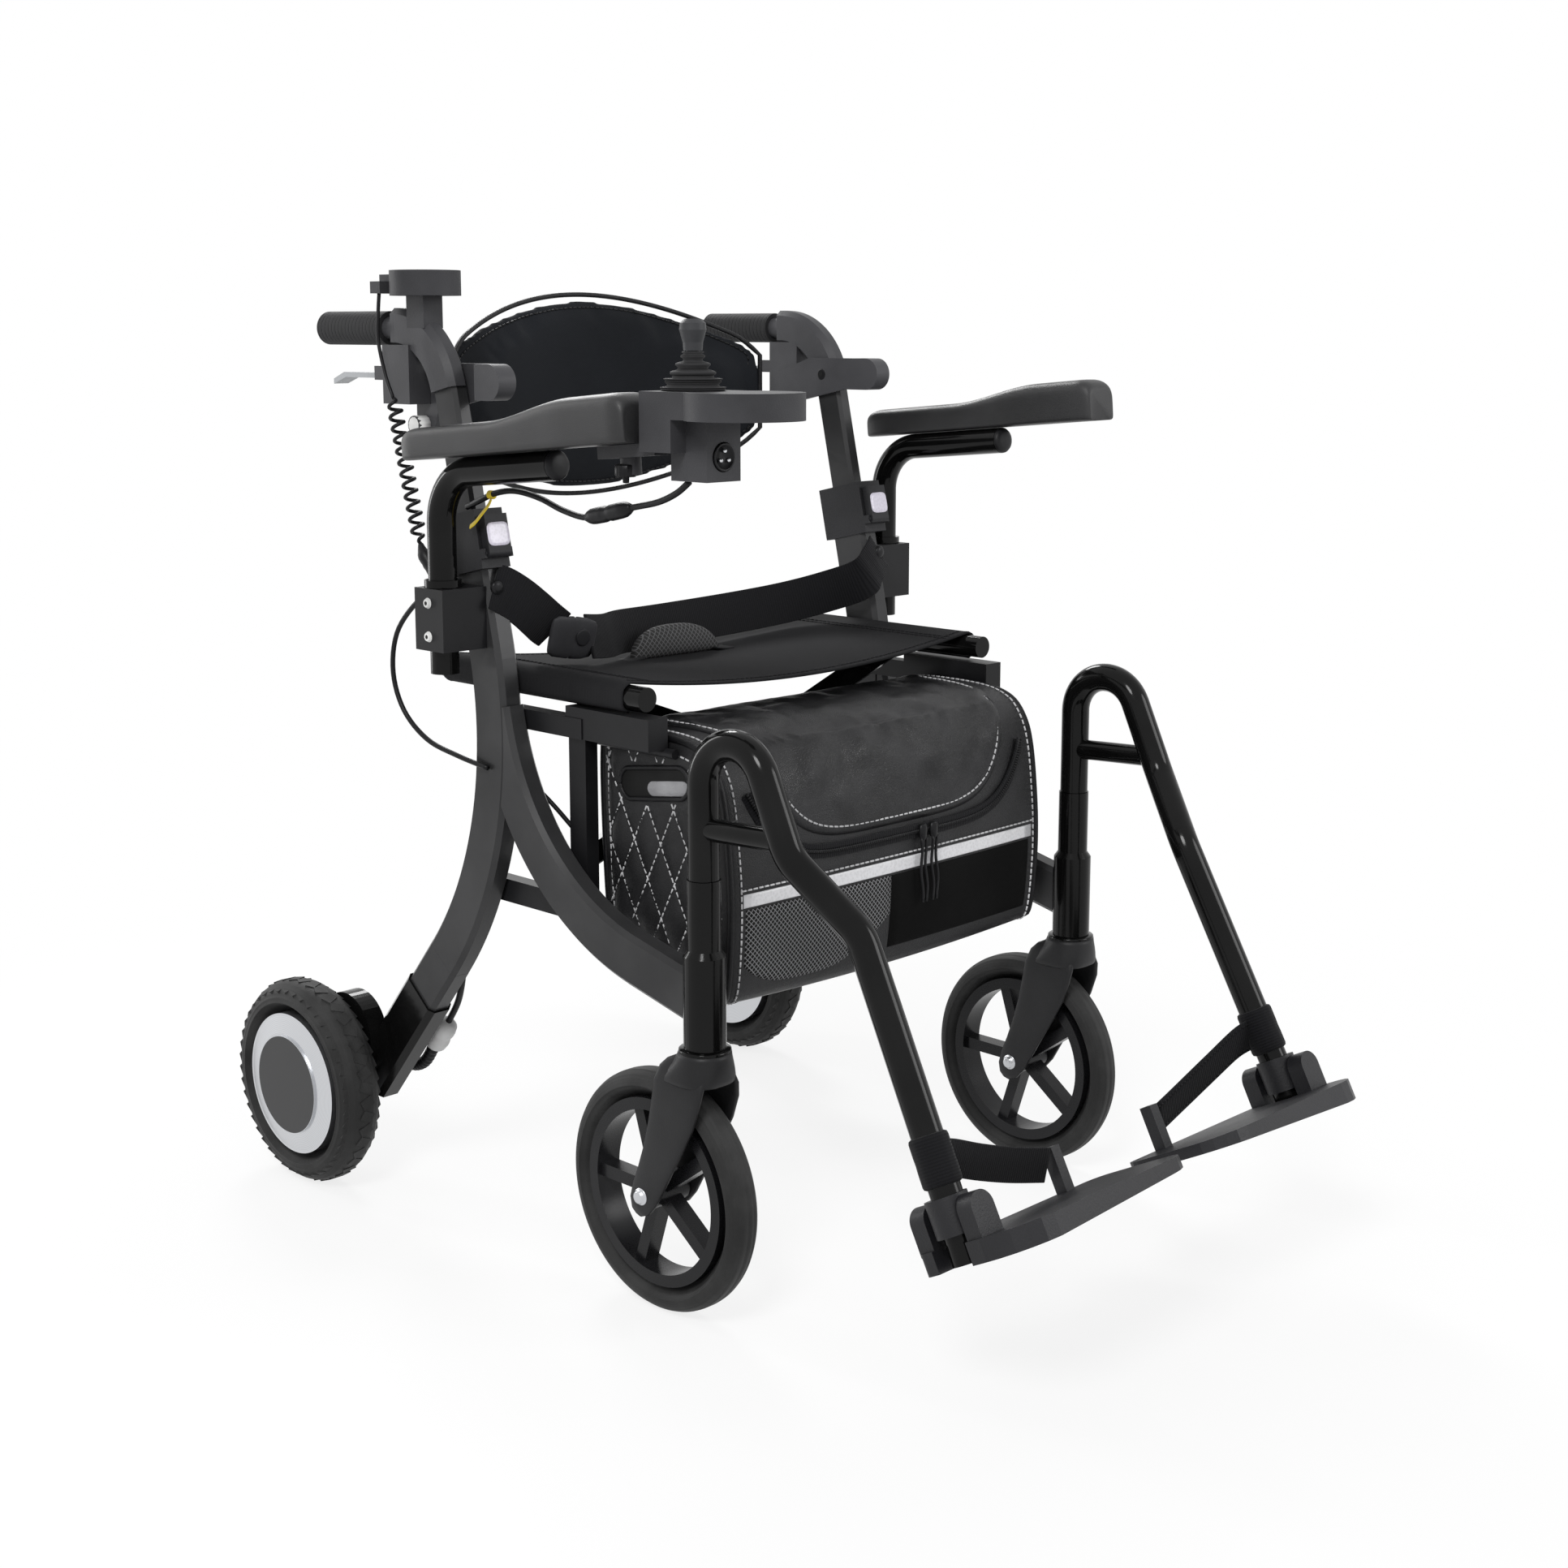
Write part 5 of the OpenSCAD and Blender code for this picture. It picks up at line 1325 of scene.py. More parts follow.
# %% Strip, net and band
STRIP_TOP, STRIP_LOW, STRIP_SEAM = 342, 331, 345.5
POCKET_TOP, POCKET_LOW, POCKET_MID, BAND_LOW = 329, 262, -96, 266


def pocket_low(x):
    """Height of the net pocket's lower edge: round at both ends."""
    u = (x - POCKET_MID) / 84
    return POCKET_LOW + 20 * u ** 4 * (x < POCKET_MID) + 34 * u ** 2 * (x > POCKET_MID)


strip_xs = [-182 + 364 * k / 28 for k in range(29)]
strip_edges = [(x, front_at(STRIP_TOP), front_at(STRIP_LOW)) for x in strip_xs]
panel("reflective_strip", strip_edges, 1.2, strip_film)
strip_row = [bag_point(x, front_at(STRIP_SEAM), 0.8) for x in strip_xs]
bag_seam("strip_seam", [strip_row])
net_edges = [(x, front_at(POCKET_TOP), front_at(pocket_low(x))) for x in [-180 + 168 * k / 20 for k in range(21)]]
panel("net_pocket", net_edges, 1.4, pocket_net)
band_edges = [(x, front_at(POCKET_TOP), front_at(BAND_LOW)) for x in [-12 + 190 * k / 16 for k in range(17)]]
panel("lower_band", band_edges, 1.0, band_cloth)
print("pieces on the bag so far:", len(bag_pieces))

# %% [markdown]
# The zip is a tape with fine teeth, which the stitch tree sets as short thick bars. Two sliders sit near the
# middle, each with a doubled cord for a pull.

# %% Zip
ZIP_HALF, ZIP_Z, ZIP_END_Z = 172.0, 362, 420
SLIDER_XS, PULL_DRIFTS = (24.0, 38.0), (-0.0028, 0.0028)
SLIDER = ((0.006, 0.002), (0.005, 0.0042), (0.0, 0.0052), (-0.006, 0.0042), (-0.0075, 0.002))


def zip_t(x):
    """The zip's place round the outline: level in the middle, rising at both ends."""
    return front_at(ZIP_Z) - (front_at(ZIP_Z) - front_at(ZIP_END_Z)) * (abs(x) / ZIP_HALF) ** 6


zip_path = [bag_point(x, zip_t(x), 1.4) for x in [-ZIP_HALF + 2 * ZIP_HALF * k / 60 for k in range(61)]]
bag_pieces.append(strap("zip_tape", zip_path, flat_section(0.012, 0.002), "right_frame", (0, 0, 1)))
bag_pieces.append(sew("zip_teeth", [[p + Vector((0, -0.0012, 0)) for p in zip_path]], "right_frame", "webbing",
                      black_screw, length=0.0014, pitch=0.0024, thick=0.0019))
for n, x in enumerate(SLIDER_XS):
    top = bag_point(x, zip_t(x), 2.6)
    slider = [[top + Vector((w * math.cos(t), -0.0028 + 0.0026 * math.sin(t), h)) for t in angles(16)]
              for h, w in SLIDER]
    bag_part(f"zip_slider_{n}", slider, black_screw)
    for c, drift in enumerate(PULL_DRIFTS):
        pull_line = [top + Vector((drift + 0.0012 * math.sin(9 * f + c + n), -0.0034 - 0.002 * f, -0.006 - 0.056 * f))
                     for f in [k / 14 for k in range(15)]]
        bag_part(f"zip_pull_{n}{c}", sweep(pull_line, round_section(0.0026, 8)), cable_skin)
narrow(bag_pieces)
print("bag pieces:", len(bag_pieces))

# %% [markdown]
# ## Lap belt
# A plain webbing belt crosses the seat, with a moulded buckle on the right. It is a ribbon along the same points
# as its CAD solid; a strap has a fixed width, so its section is carried along the path, with a twist from one end
# to the other. Both ends run on over the fronts of the columns, and a screw holds each.

# %% Belt straps
BELT_W, BELT_T, BELT_KEEP = 0.040, 0.002, 0.526
BELT_ANCHOR = tuple(at(-238, 0, 540))
right_run = smooth_path(route([(-238, 126, 574), (-227, 123.5, 569), (-211, 121, 558), (-196, 122.5, 547),
                               (-183, 126, 538), (-172, 128, 531)]))
left_run = smooth_path(route([(-132, 130, 521), (-95, 150, 516), (-60, 168, 515), (0, 180, 514), (87, 182, 516.5),
                              (150, 172, 522), (186, 148, 532), (206, 119, 545), (222, 119, 558),
                              (238, 125.5, 570)]))
belt_section = flat_section(BELT_W, BELT_T)
belt_right = strap("belt_right", right_run, belt_section, "right_frame", (0, 0.22, 1), (0.3, -0.5, 0.8))
belt_left = strap("belt_left", left_run, belt_section, "right_frame", (0, 0.3, 1), (-0.2, 0.22, 1))
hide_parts("lap_belt")
print("belt, m:", round(path_length(right_run) + path_length(left_run), 3))

# %% [markdown]
# The buckle is a soft moulded box with a groove round its middle and a round button, and it lies tilted on the
# seat. Both are rings carried along the buckle's own axis. The screws are small domed rings on the strap's ends.

# %% Buckle and belt screws
BUCKLE_TALL = Vector((0, -0.30, 0.95))
BUCKLE = ((-26, 13, 3), (-25, 16, 5), (-20, 19, 7.5), (-4, 20, 8.5), (-3, 19, 7.6), (0, 19, 7.6),
          (1, 20, 8.5), (12, 19.5, 8.5), (22, 17, 7), (25, 14, 4))
BUTTON_D, BUTTON = 0.016, ((0.0, 1.0), (0.0012, 1.0), (0.0016, 0.85), (0.0012, 0.05))
BELT_SCREW_R, BELT_SCREW = 0.006, ((-0.0014, 1.0), (0.0008, 1.0), (0.0022, 0.8), (0.0026, 0.3))
buckle_mid, buckle_x = at(-152, 128, 522), (at(-130, 129, 519) - at(-174, 127, 526)).normalized()
buckle_rings = []
for d, w, h in BUCKLE:
    centre = buckle_mid + buckle_x * (d / 1000)
    buckle_rings.append([centre + Vector((0, -0.55 * h / 1000 * shaped(math.sin(t), 0.6), 0))
                         + BUCKLE_TALL * (w / 1000 * shaped(math.cos(t), 0.6)) for t in angles(28)])
buckle = add_piece("belt_buckle", buckle_rings, "right_frame", control_plastic)
button_at = buckle_mid + buckle_x * 0.008 + Vector((0, -0.0046, 0.001))
button_rings = [[button_at + buckle_x * (a * f) + Vector((0, -d, 0)) + BUCKLE_TALL * (b * f)
                 for a, b in round_section(BUTTON_D, 24)] for d, f in BUTTON]
button = add_piece("buckle_button", button_rings, "right_frame", clip_plastic)
belt_pieces = [belt_right, belt_left, buckle, button]
for word, end in (("right", (-236, 124, 573)), ("left", (236, 123.5, 569))):
    centre = at(*end)
    head = [[centre + Vector((BELT_SCREW_R * f * math.cos(t), -d, BELT_SCREW_R * f * math.sin(t)))
             for t in angles(24)] for d, f in BELT_SCREW]
    belt_pieces.append(add_piece(f"belt_screw_{word}", head, "right_frame", black_screw))
narrow(belt_pieces)
print("belt pieces:", len(belt_pieces))

# %% [markdown]
# ## Heel straps
# A webbing strap behind each heel runs from a collar on the hanger tube to a hook on the footplate. The plate flips
# up; the collar rides the footrest, and the strap and its seams are baked where they lie, on no body. The tube leans,
# so places are counted in its own frame.

# %% Heel straps
FOOT, SHIN, SHIN_LEAN = (216.0, -380.0, 125.0), (207.0, -264.0, 344.0), math.radians(27.9093)
STRAP_LINE = ((-12, 4, 76), (-30, 10, 73), (-64, 18, 62), (-104, 24, 50), (-142, 26, 40))
STRAP_W, STRAP_T, STRAP_SEAM = 0.028, 0.002, [(0.0105, 0.0012), (-0.0105, 0.0012)]
COLLAR_D, COLLAR = 0.0305, ((0.057, 0.84), (0.058, 0.96), (0.060, 1), (0.070, 1), (0.076, 0.985), (0.082, 1),
                            (0.092, 1), (0.094, 0.96), (0.095, 0.84))


def leaning(base, lean, x, y, z, s):
    """A place in the frame of a part that leans by an angle about its base; s is the side of the chair."""
    return at(s * (base[0] + x), base[1] + y * math.cos(lean) + z * math.sin(lean),
              base[2] - y * math.sin(lean) + z * math.cos(lean))


for s, word in SIDES:
    strap_path = smooth_path([leaning(FOOT, SHIN_LEAN, x, y, z, s) for x, y, z in STRAP_LINE])
    heel = strap(f"{word}_heel_webbing", strap_path, flat_section(STRAP_W, STRAP_T), None, (0, 0, 1))
    foot, shin = route([FOOT, SHIN], s)
    way = (shin - foot).normalized()
    collar = swollen([foot + way * d for d, w in COLLAR], COLLAR_D, 28, [w for d, w in COLLAR])
    add_piece(f"{word}_heel_collar", collar, f"{word}_footrest", webbing)
    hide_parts(f"{word}_heel_strap")
    rows = list(zip(*sweep(strap_path, STRAP_SEAM, (0, 0, 1))))
    seam = sew(f"{word}_heel_seams", rows, None, "webbing", webbing, length=0.003, pitch=0.0045, thick=0.0004)
    for piece in (heel, seam):
        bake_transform(piece)
    print(word, "heel strap, m:", round(path_length(strap_path), 3))

# %% [markdown]
# ## Armrest pads
# The armrests are moulded skin foam: flat underneath, rounded on top, and they rise towards the hand. Rings of
# a rounded section follow that rise.

# %% Armrest pads
ARM, ARM_TILT = (272.0, 150.0, 668.0), math.radians(5)
PAD_LOW, PAD_REAR, PAD_FRONT, PAD_IN, PAD_W = 12.1, 14.0, -262.0, -12.0, 42.0
PAD_STEPS, PAD_END = 72, 16


def rise(y):
    """Height of the pad along the arm: higher at the front."""
    t = max(0.0, min(1.0, (-96 - y) / 100))
    return 26 + 12 * t * t * (3 - 2 * t)


def pad_ring(y, s):
    """One section of the pad; its upper half is rounder than its lower half, and both ends close in."""
    end = min(PAD_REAR - y, y - PAD_FRONT)
    f = 1.0 if end > PAD_END else 0.42 + 0.58 * math.sqrt(max(0.0, 1 - (1 - end / PAD_END) ** 2))
    half, tall = PAD_W / 2 * (0.62 + 0.38 * f), rise(y) / 2 * (0.5 + 0.5 * f)
    ring = []
    for t in angles(40):
        across, up = (0.5, 0.55) if math.sin(t) > 0 else (0.25, 0.22)
        ring.append(leaning(ARM, ARM_TILT, PAD_IN + PAD_W / 2 + half * shaped(math.cos(t), across), y,
                            PAD_LOW + tall + tall * shaped(math.sin(t), up), s))
    return ring


pad_ys = [(PAD_REAR + PAD_FRONT) / 2 + (PAD_REAR - PAD_FRONT) / 2 * math.cos(math.pi * k / PAD_STEPS)
          for k in range(PAD_STEPS + 1)]
for s, word in SIDES:
    pad = add_piece(f"{word}_armrest_foam", [pad_ring(y, s) for y in pad_ys], f"{word}_armrest", foam)
    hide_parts(f"{word}_armrest_pad")
print("armrest pads:", len(SIDES))

# %% [markdown]
# ## Joystick boot and knobs
# The boot is a small rubber bellows, turned about the stick's axis. Small turned pieces share one helper: a
# profile of distances along an axis and radii, with flutes cut in the rim where fingers hold it.

# %% Turned pieces


def turned(name, centre, axis, profile, body, finish, count=40, flutes=0, depth=0.0):
    """Rings of (along, radius), in millimetres, about an axis; flutes cut its rim."""
    axis = Vector(axis).normalized()
    one = axis.cross(Vector((0, 0, 1) if abs(axis.z) < 0.9 else (1, 0, 0))).normalized()
    two = axis.cross(one)
    rings = []
    for along, radius in profile:
        ring = []
        for t in angles(count):
            r = (radius - depth * (0.5 + 0.5 * math.cos(flutes * t)) * (radius > 5)) / 1000
            ring.append(centre + axis * (along / 1000) + one * r * math.cos(t) + two * r * math.sin(t))
        rings.append(ring)
    return add_piece(name, rings, body, finish)


KNOB = [(-0.2, 7.5), (0.4, 8.6), (9, 8.6), (12.2, 8.2), (13.6, 6.6), (13.9, 0.4)]
for s, word, finish in ((-1, "right", white_plastic), (1, "left", handle_plastic)):
    turned(f"{word}_backrest_knob", at(s * 222.6, 235, 703.8), (s, 0, 0), KNOB, f"{word}_backrest", finish,
           count=48, flutes=12, depth=0.5)
print("backrest knobs:", len(SIDES))

# %% [markdown]
# The stick tilts on two hinges, one in the other. The boot is made in two halves, split at the gimbal: the lower one
# reaches from the armrest to the gimbal, the upper one from the gimbal to the stick. Both are baked where they lie
# and ride no body.

# %% Joystick boot
STICK_X, STICK_Y, BOOT_Z = -258.0, -141.0, 741.3
BOOT_LOW, BOOT_SPLIT, BOOT_HIGH = 3.0, 14.0, 27.0
BOOT_FOLD = ((0.0, 2.4), (1.4, 3.0), (3.0, 1.0), (4.4, 1.2), (5.4, 3.4))
boot_profile = [(0, 23.6), (1.2, 24.0), (2.2, 23.2)]
for k in range(4):
    boot_profile += [(3.0 + 6.0 * k + up, 22.0 - 4.0 * k - inward) for up, inward in BOOT_FOLD]
boot_profile += [(27.4, 8.4), (28.0, 7.4)]


def boot_part(name, profile, still, moving, low, high):
    """A turned piece of the boot, baked where it lies on no body."""
    part = turned(name, at(STICK_X, STICK_Y, BOOT_Z), (0, 0, 1), profile, None, boot_rubber, 56)
    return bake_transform(part, still, moving, start=tuple(at(STICK_X, STICK_Y, BOOT_Z + low)),
                    end=tuple(at(STICK_X, STICK_Y, BOOT_Z + high)))


lower = [row for row in boot_profile if row[0] <= BOOT_SPLIT]
upper = boot_profile[len(lower):]
boot = boot_part("joystick_bellows", lower + upper[:1], "right_armrest", "joystick_gimbal", BOOT_LOW, BOOT_SPLIT)
boot_part("joystick_bellows_top", upper, "joystick_gimbal", "joystick", BOOT_SPLIT, BOOT_HIGH)
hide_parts("joystick_boot")
for n, (up, r) in enumerate(((2.0, 23.6), (8.2, 21.0))):
    ring = [(up - 0.4, r), (up - 0.3, r + 0.7), (up + 0.3, r + 0.7), (up + 0.4, r)]
    boot_part(f"boot_ring_{n}", ring, "right_armrest", "joystick_gimbal", BOOT_LOW, BOOT_SPLIT)
print("boot rows:", len(boot_profile))

# %% [markdown]
# ## Reflectors and screws
# Each height clip's lever carries a small reflective tile. It is a rounded box on the lever's front, in the frame
# of the leaning column, so it turns with the lever when the clip opens.

# %% Clip reflectors
KNEE, COLUMN_LEAN = (0.0, 103.0, 361.0), math.radians(12.5)
TILE_X, TILE_Y, TILE_Z, TILE_HALF_X, TILE_HALF_Z = 234.3, -36.0, 255.0, 11.4, 10.0
TILE = ((0.4, 0.97), (-0.5, 1.0), (-0.9, 0.95), (-1.1, 0.75), (-1.2, 0.05))
for s, word in SIDES:
    tile = [[leaning(KNEE, COLUMN_LEAN, TILE_X + TILE_HALF_X * f * shaped(math.cos(t), 0.45), TILE_Y + depth,
                     TILE_Z + TILE_HALF_Z * f * shaped(math.sin(t), 0.45), s) for t in angles(40)]
            for depth, f in TILE]
    add_piece(f"{word}_clip_reflector", tile, f"{word}_clip", clip_film)
print("clip reflectors:", len(SIDES))

# %% [markdown]
# Pale screws hold the armrest sockets and dark bolts the backrest arms; the fastener tree sets them. The joystick
# box has a charging socket in its front: a turned rim with three pins, which are fastener heads too.

# %% Screws and charging socket
CHARGER_RIM = [(-0.5, 10.4), (1.2, 10.4), (1.6, 9.8), (1.2, 8.6), (-0.4, 8.4), (-0.4, 0.3)]
PIN_CIRCLE = 0.0045
for s, word in SIDES:
    screws(f"{word}_armrest_screws", [at(s * 288, 150, 562), at(s * 288, 150, 534)], [(s, 0, 0)] * 2,
           f"{word}_frame", "bracket_paint", white_plastic, radius=0.0046, height=0.0022)
    screws(f"{word}_arm_bolt", [at(s * 220.0, 187.2, 740.8)], [(-s, 0, 0)], f"{word}_backrest", "handle_plastic",
           black_screw, radius=0.006, height=0.0006)
socket_at = at(-258, -173, 693.9)
pins = [socket_at + Vector((PIN_CIRCLE * math.cos(t + math.pi / 2), 0.0008, PIN_CIRCLE * math.sin(t + math.pi / 2)))
        for t in angles(3)]
fastener.make("charger_pins", points("charger_pins", pins, [(0, -1, 0)] * 3), "right_armrest", True,
              "control_plastic", Radius=0.0016, Top=0.0012, Height=0.003, Sides=12, Material=bright_steel)
turned("charger_rim", socket_at, (0, -1, 0), CHARGER_RIM, "right_armrest", black_screw)
print("charger pins:", len(pins))

# %% [markdown]
# ## Caster forks
# A real fork is one moulding: a collar under the post, a soft crown over the tyre, and two blades that sweep
# back to the axle and thin towards it. Rounded sections carried down the blade give that swelling shape,
# which a drawing in flat plates can't. It stays where the CAD fork is, and the axle ends in a bright bolt.

# %% Caster forks
FORK_TOP = 231.0
BLADE = [(-121, 225.0, 3.0, 9.0), (-120.5, 223.5, 10.0, 10.5), (-120, 220.5, 16.0, 12.6), (-118.5, 215, 21.4, 16.0),
         (-116.4, 208, 24.8, 19.2), (-113, 196, 26.2, 21.3), (-108, 177, 24.6, 21.6),
         (-100, 156, 21.2, 21.6), (-91, 135, 18.0, 21.6), (-82, 116, 16.0, 21.6), (-75, 102, 15.0, 21.6),
         (-69, 91, 12.0, 21.6), (-65.5, 85.0, 6.5, 21.6), (-64.6, 83.4, 1.5, 21.6)]
CROWN = [(228, 21.2, 21.2, -123, 1.0), (224.5, 21.8, 22.2, -122.4, 1.0), (219, 22.9, 24.4, -120.6, 0.92),
         (213, 24.3, 26.6, -118, 0.82), (207.5, 25.0, 28.0, -116, 0.74), (204, 25.1, 28.2, -115, 0.70),
         (202.8, 24.2, 27.2, -115, 0.70)]
AXLE = (-73, 100)
BOLT = [(-1.5, 7.2), (0.6, 7.2), (1.2, 6.6), (1.2, 5.4), (3.6, 5.2), (4.2, 4.2), (4.3, 0.3)]
COLLAR_RING = [(-5, 18.0), (-4.4, 20.4), (-3, 20.9), (-1.0, 20.9), (-0.5, 20.2), (-0.5, 0.5)]


def blade_rings(s, m):
    """Rounded sections down one blade; m is -1 for the inner blade and 1 for the outer one."""
    rings = []
    for k, (y, z, half, off) in enumerate(BLADE):
        before, after = BLADE[max(k - 1, 0)], BLADE[min(k + 1, len(BLADE) - 1)]
        run_y, run_z = after[0] - before[0], after[1] - before[1]
        size = math.hypot(run_y, run_z)
        thick = 3.5 * min(1.0, half / 12.0) ** 0.5
        rings.append([at(s * (POST_X + m * (off + thick * shaped(math.sin(t), 0.55))),
                         y + half * shaped(math.cos(t), 0.75) * run_z / size,
                         z - half * shaped(math.cos(t), 0.75) * run_y / size) for t in angles(32)])
    return rings


for s, word in SIDES:
    body = f"{word}_caster"
    for m, place in ((-1, "in"), (1, "out")):
        add_piece(f"{word}_fork_blade_{place}", blade_rings(s, m), body, fork_plastic)
        turned(f"{word}_axle_bolt_{place}", at(s * (POST_X + m * 24.6), *AXLE), (s * m, 0, 0), BOLT, body,
               bright_steel, count=24)
    crown_rings = [[at(s * (POST_X + rx * shaped(math.cos(t), power)), cy + ry * shaped(math.sin(t), power), z)
                    for t in angles(48)] for z, rx, ry, cy, power in CROWN]
    crown = add_piece(f"{word}_fork_crown", crown_rings, body, fork_plastic)
    turned(f"{word}_fork_collar", at(s * POST_X, POST_Y, FORK_TOP), (0, 0, 1), COLLAR_RING, body, gloss,
           count=48)
    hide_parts(f"{word}_caster_fork")
print("forks:", len(SIDES))

# %% [markdown]
# ## Tread of the drive tyres
# The drive tyres have small blocks across the tread, a zigzag row in the middle and a row on each shoulder.
# A third tree sets one block on every point of a ring and turns it by two directions: out of the tyre and
# along the block. The tyre's own mesh tells how far out its skin is at each row.

# %% Tread tree
treader = NodeTree("tread_blocks", Size="Vector", Material="Material")
block = treader.node("GeometryNodeMeshCube", {}, {"Size": treader.source.outputs["Size"]})
facing = [treader.node("GeometryNodeInputNamedAttribute", {"data_type": "FLOAT_VECTOR"}, {"Name": key}).outputs[0]
          for key in ("aim", "side")]
upright = treader.node("FunctionNodeAlignRotationToVector", {"axis": "Z"}, {"Vector": facing[0]})
skewed = treader.node("FunctionNodeAlignRotationToVector", {"axis": "X", "pivot_axis": "Z"}, {
    "Rotation": upright.outputs[0], "Vector": facing[1]})
treader.end(treader.node("GeometryNodeInstanceOnPoints", {}, {
    "Points": treader.source.outputs["Geometry"], "Instance": block.outputs[0],
    "Rotation": skewed.outputs[0]}).outputs[0])
print("tread tree inputs:", [item.name for item in treader.group.interface.items_tree])

# %% [markdown]
# Three rows of blocks go round each drive tyre. The middle row leans left and right in turn, and the shoulder rows
# are half a step further round and look outwards.

# %% Tread
BLOCKS, TREAD_SHOULDER, SHOULDER_AIM, NEAR_POINTS, LEAST_R = 44, 0.0135, 0.45, 400, 0.07
MIDDLE_SIZE, SHOULDER_SIZE = (0.0125, 0.0094, 0.0022), (0.0105, 0.0098, 0.0024)
TREAD_ROWS = (  # across the tyre, skew, which way its blocks look, how deep they sit, turn in steps, size
    (0.0, 0.5, 0.0, 0.0007, 0.0, MIDDLE_SIZE),
    (TREAD_SHOULDER, -0.35, SHOULDER_AIM, 0.0012, 0.5, SHOULDER_SIZE),
    (-TREAD_SHOULDER, 0.35, -SHOULDER_AIM, 0.0012, 0.5, SHOULDER_SIZE))
for s, word in SIDES:
    tyre = f"{word}_drive_tyre"
    hub_at = Vector(middle_of(tyre))
    skin = [(abs(v.co.x - hub_at.x), math.hypot(v.co.y - hub_at.y, v.co.z - hub_at.z))
            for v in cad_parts[tyre].data.vertices]
    for n, (across, skew, outward, sunk, start, size) in enumerate(TREAD_ROWS):
        near = sorted(skin, key=lambda q: abs(q[0] - abs(across)))[:NEAR_POINTS]
        reach = max(r for a, r in near if r > LEAST_R)
        places, aims, turns = [], [], []
        for k in range(BLOCKS):
            t = math.tau * (k + start) / BLOCKS
            spoke, round_way = Vector((0, math.cos(t), math.sin(t))), Vector((0.0, -math.sin(t), math.cos(t)))
            places.append(hub_at + Vector((across, 0, 0)) + spoke * (reach - sunk))
            aims.append((spoke + Vector((outward, 0, 0))).normalized())
            turns.append(Vector((1, 0, 0)) + round_way * (skew if (n or k % 2) else -skew))
        base = points(f"{word}_tread_{n}", places, aims)
        set_vectors(base, "side", turns)
        treader.make(f"{word}_tread_{n}", base, f"{word}_drive_wheel", False, "tyre", Size=size,
                     Material=own_finish[tyre])
    print(word, "tread rows at radius, m:", round(reach, 4))

# %% [markdown]
# ## Last small things
# The joystick's arm is clamped under the pad with a small black thumb knob, and a plug closes each armrest
# tube's open end. All are turned pieces.

# %% Thumb knob and tube plugs
THUMB_KNOB = [(-12, 3.0), (0, 3.0), (0, 7.5), (1, 8.4), (8, 8.4), (9.5, 7.4), (9.8, 2.6), (14, 2.4), (14.4, 0.3)]
TUBE_PLUG = [(-0.4, 11.2), (0.2, 11.8), (2.0, 11.8), (4.0, 10.4), (5.0, 7.0), (5.3, 0.3)]
turned("joystick_thumb_knob", at(-276, -86, 686), (0, 0, -1), THUMB_KNOB, "right_armrest", black_screw,
       count=48, flutes=16, depth=0.7)
for s, word in SIDES:
    turned(f"{word}_arm_plug", leaning(ARM, ARM_TILT, 0, -150, 0, s), (0, -math.cos(ARM_TILT), math.sin(ARM_TILT)),
           TUBE_PLUG, f"{word}_armrest", dark_paint)
print("tube plugs:", len(SIDES))

# %% [markdown]
# The backrest's cover has a sewn line inside its edge. The line is dropped on to the padded mesh with rays, so it
# follows the swelling.

# %% Backrest seam
SEAM_REACH, SEAM_INSET, SEAM_PROUD = 0.93, 11, 0.0004
cover = BVHTree.FromPolygons([v.co for v in back.data.vertices], [list(f.vertices) for f in back.data.polygons])
seam_line = []
for way in (1, -1):
    for k in range(81):
        u = way * (2 * k / 80 - 1) * SEAM_REACH
        tall, thick, y = back_shape(u)
        start = at(BACK_HALF * u, y - 80, BACK_Z + way * (tall - SEAM_INSET))
        hit = cover.ray_cast(start, Vector((0, 1, 0)))[0]
        if hit:
            seam_line.append(hit + Vector((0, -SEAM_PROUD, 0)))
back_seam = sew("backrest_seam", [seam_line + seam_line[:1]], "right_backrest", "back_fabric", bag_trim, pitch=0.0056)
narrow([back_seam])
print("backrest seam points:", len(seam_line))

# %% [markdown]
# ## Floor and light
# The studio is white. The floor is pale and keeps the shadow; to the camera and to reflections it shines a
# little, more so further out, so it runs into the background without an edge.

# %% Floor
FLOOR_HALF, FLOOR_GREY = 40, 0.86
NEAR_SHINE, FADE_FROM, FADE_TO = 0.80, 0.5, 1.3
BACKGROUND_RAYS = ("Is Camera Ray", "Is Glossy Ray", "Is Transmission Ray")
floor_mesh = bpy.data.meshes.new("floor")
floor_mesh.from_pydata([(FLOOR_HALF * x, FLOOR_HALF * y, 0) for x, y in ((-1, -1), (1, -1), (1, 1), (-1, 1))], [],
                       [(0, 1, 2, 3)])
floor = bpy.data.objects.new("floor", floor_mesh)
scene.collection.objects.link(floor)
floor_finish = Finish("floor_white", Roughness=0.9, Base_Color=(FLOOR_GREY, FLOOR_GREY, FLOOR_GREY, 1.0))
rays = floor_finish.node("ShaderNodeLightPath").socket.node.outputs
camera_ray, glossy_ray, clear_ray = [Wire(floor_finish, rays[key]) for key in BACKGROUND_RAYS]
seen = (camera_ray + glossy_ray + clear_ray).math("MINIMUM", 1.0)
white = floor_finish.node("ShaderNodeEmission", {}, {"Color": (1, 1, 1, 1), "Strength": 1.0})
floor_x, floor_y = floor_finish.split(floor_finish.place())[:2]
far = ((floor_x * floor_x + floor_y * floor_y) ** 0.5).smoothly(FADE_FROM, FADE_TO)
mixed = floor_finish.node("ShaderNodeMixShader", {}, {
    0: seen * (NEAR_SHINE + far * (1 - NEAR_SHINE)), 1: Wire(floor_finish, floor_finish.shader.outputs[0]), 2: white})
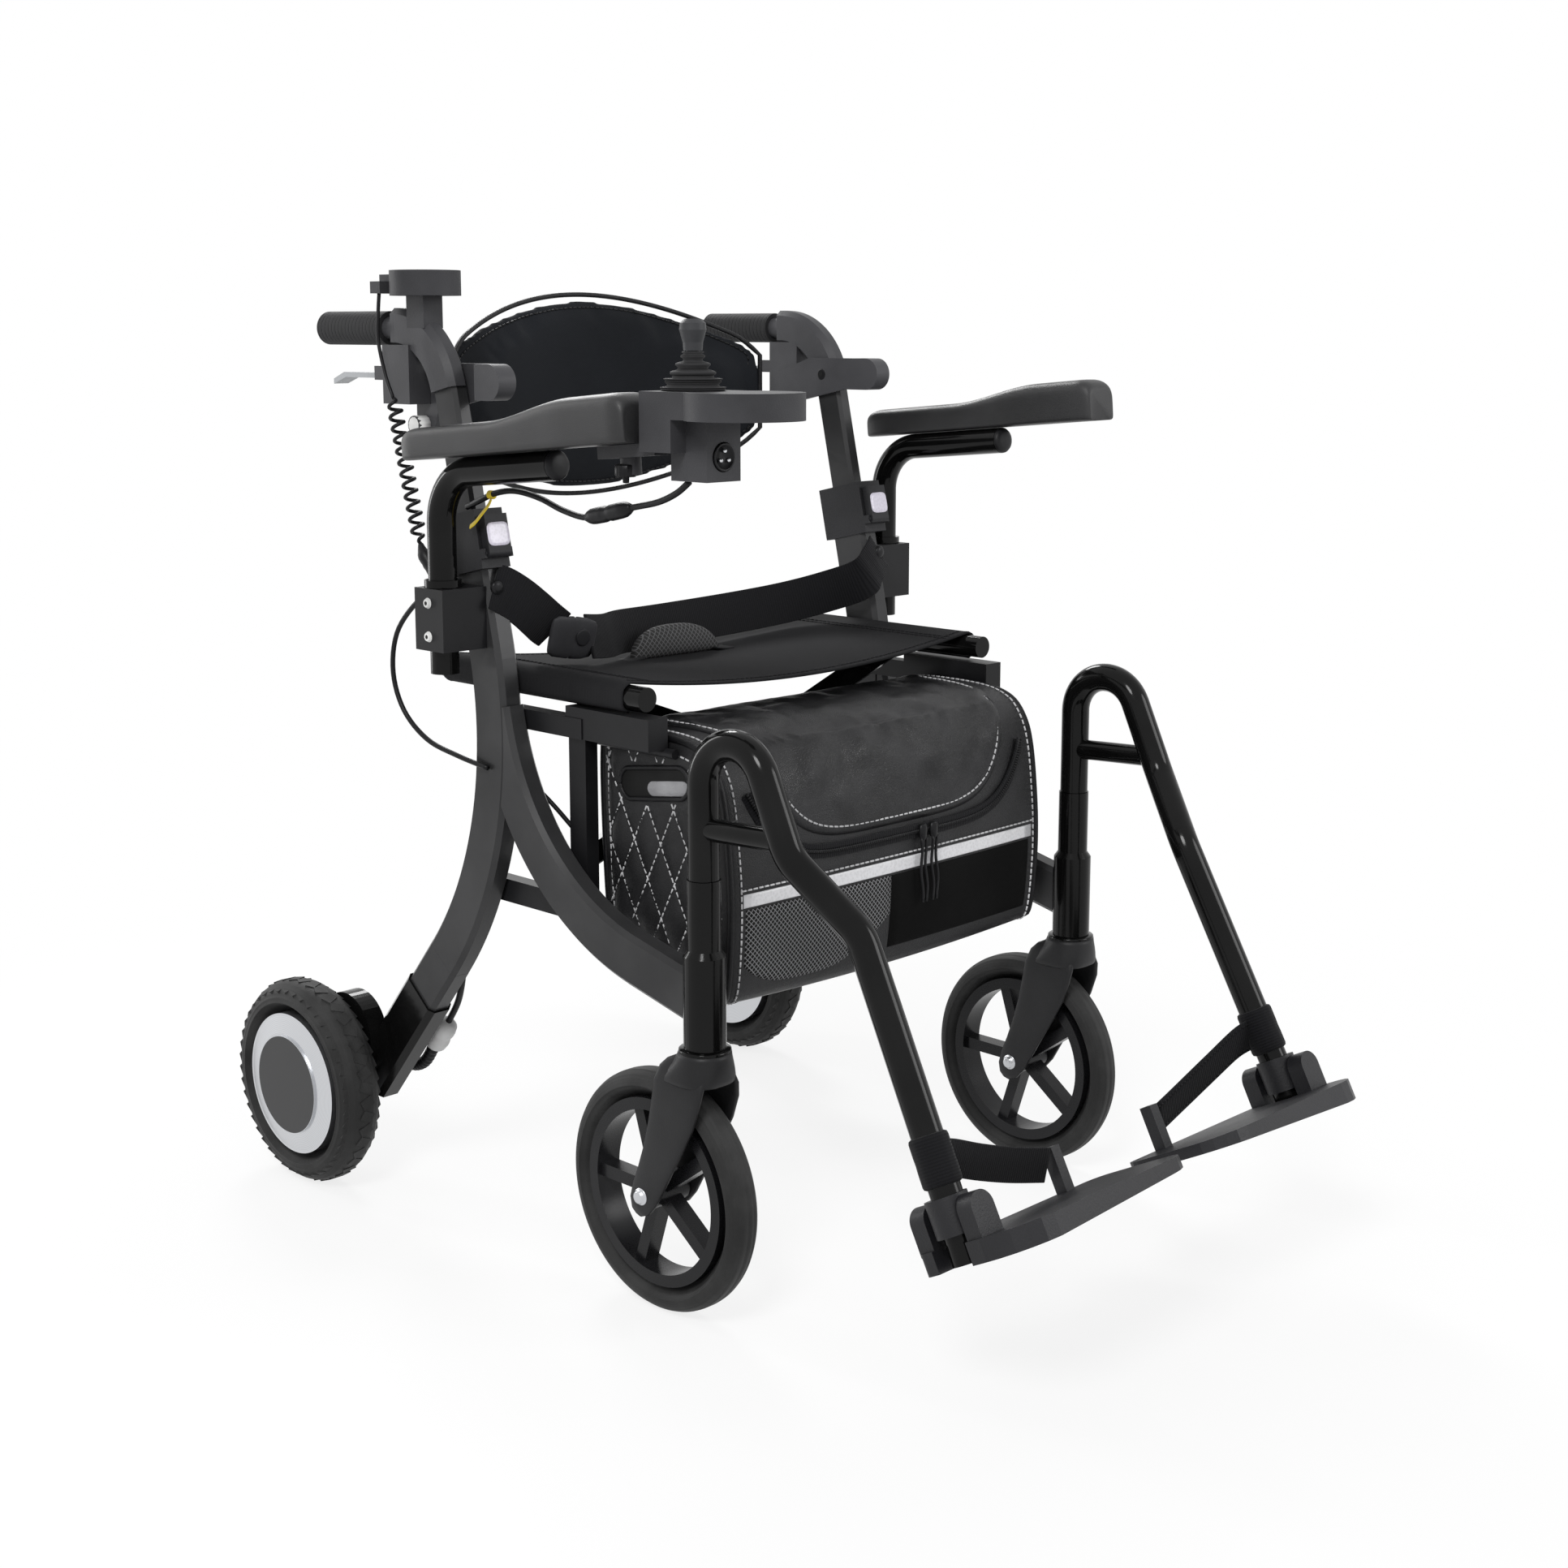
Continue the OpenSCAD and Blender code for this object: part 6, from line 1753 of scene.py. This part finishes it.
floor_finish.feed(mixed, floor_finish.tree.nodes["Material Output"].inputs["Surface"])
floor_mesh.materials.append(floor_finish.material)
print("floor, m across:", 2 * FLOOR_HALF)

# %% [markdown]
# The world is white to the camera and to reflections, and weaker as a light, so that the lamps shape the chair.

# %% World
WORLD_LIGHT, WORLD_SEEN = 0.55, 1.0
world = bpy.data.worlds.new("studio")
world.use_nodes = True
scene.world = world
tree = world.node_tree
rays = tree.nodes.new("ShaderNodeLightPath").outputs
seen_ray = rays[BACKGROUND_RAYS[0]]
for key in BACKGROUND_RAYS[1:]:
    either = tree.nodes.new("ShaderNodeMath")
    either.operation = "MAXIMUM"
    tree.links.new(seen_ray, either.inputs[0])
    tree.links.new(rays[key], either.inputs[1])
    seen_ray = either.outputs[0]
level = tree.nodes.new("ShaderNodeMapRange")
level.inputs["To Min"].default_value = WORLD_LIGHT
level.inputs["To Max"].default_value = WORLD_SEEN
tree.links.new(seen_ray, level.inputs["Value"])
sky = tree.nodes["Background"]
sky.inputs["Color"].default_value = (1, 1, 1, 1)
tree.links.new(level.outputs[0], sky.inputs["Strength"])
print("world nodes:", len(tree.nodes))

# %% [markdown]
# Three large soft lamps light the chair at a plain level. A tall narrow lamp behind draws the bright line along
# the gloss tubes.

# %% Lamps
LAMPS = (  # name, place, aim, width, watts, and height where the lamp isn't round
    ("key_lamp", (-2.2, -1.2, 2.6), (0, 0, 0.4), 1.0, 55.0, None),
    ("fill_lamp", (1.6, -2.4, 1.6), (0, 0, 0.4), 1.3, 26.0, None),
    ("rim_lamp", (1.2, 2.4, 2.4), (0, 0, 0.5), 1.1, 40.0, None),
    ("strip_lamp", (-0.8, 2.3, 1.1), (0, 0, 0.45), 0.30, 14.0, 2.0))
for name, place, target, width, watts, height in LAMPS:
    data = bpy.data.lights.new(name, "AREA")
    data.shape, data.size, data.energy = "RECTANGLE" if height else "DISK", width, watts
    if height:
        data.size_y = height
    light = bpy.data.objects.new(name, data)
    light.location = place
    light.rotation_euler = looking(Vector(place), Vector(target))
    scene.collection.objects.link(light)
print("lamps:", len(LAMPS))
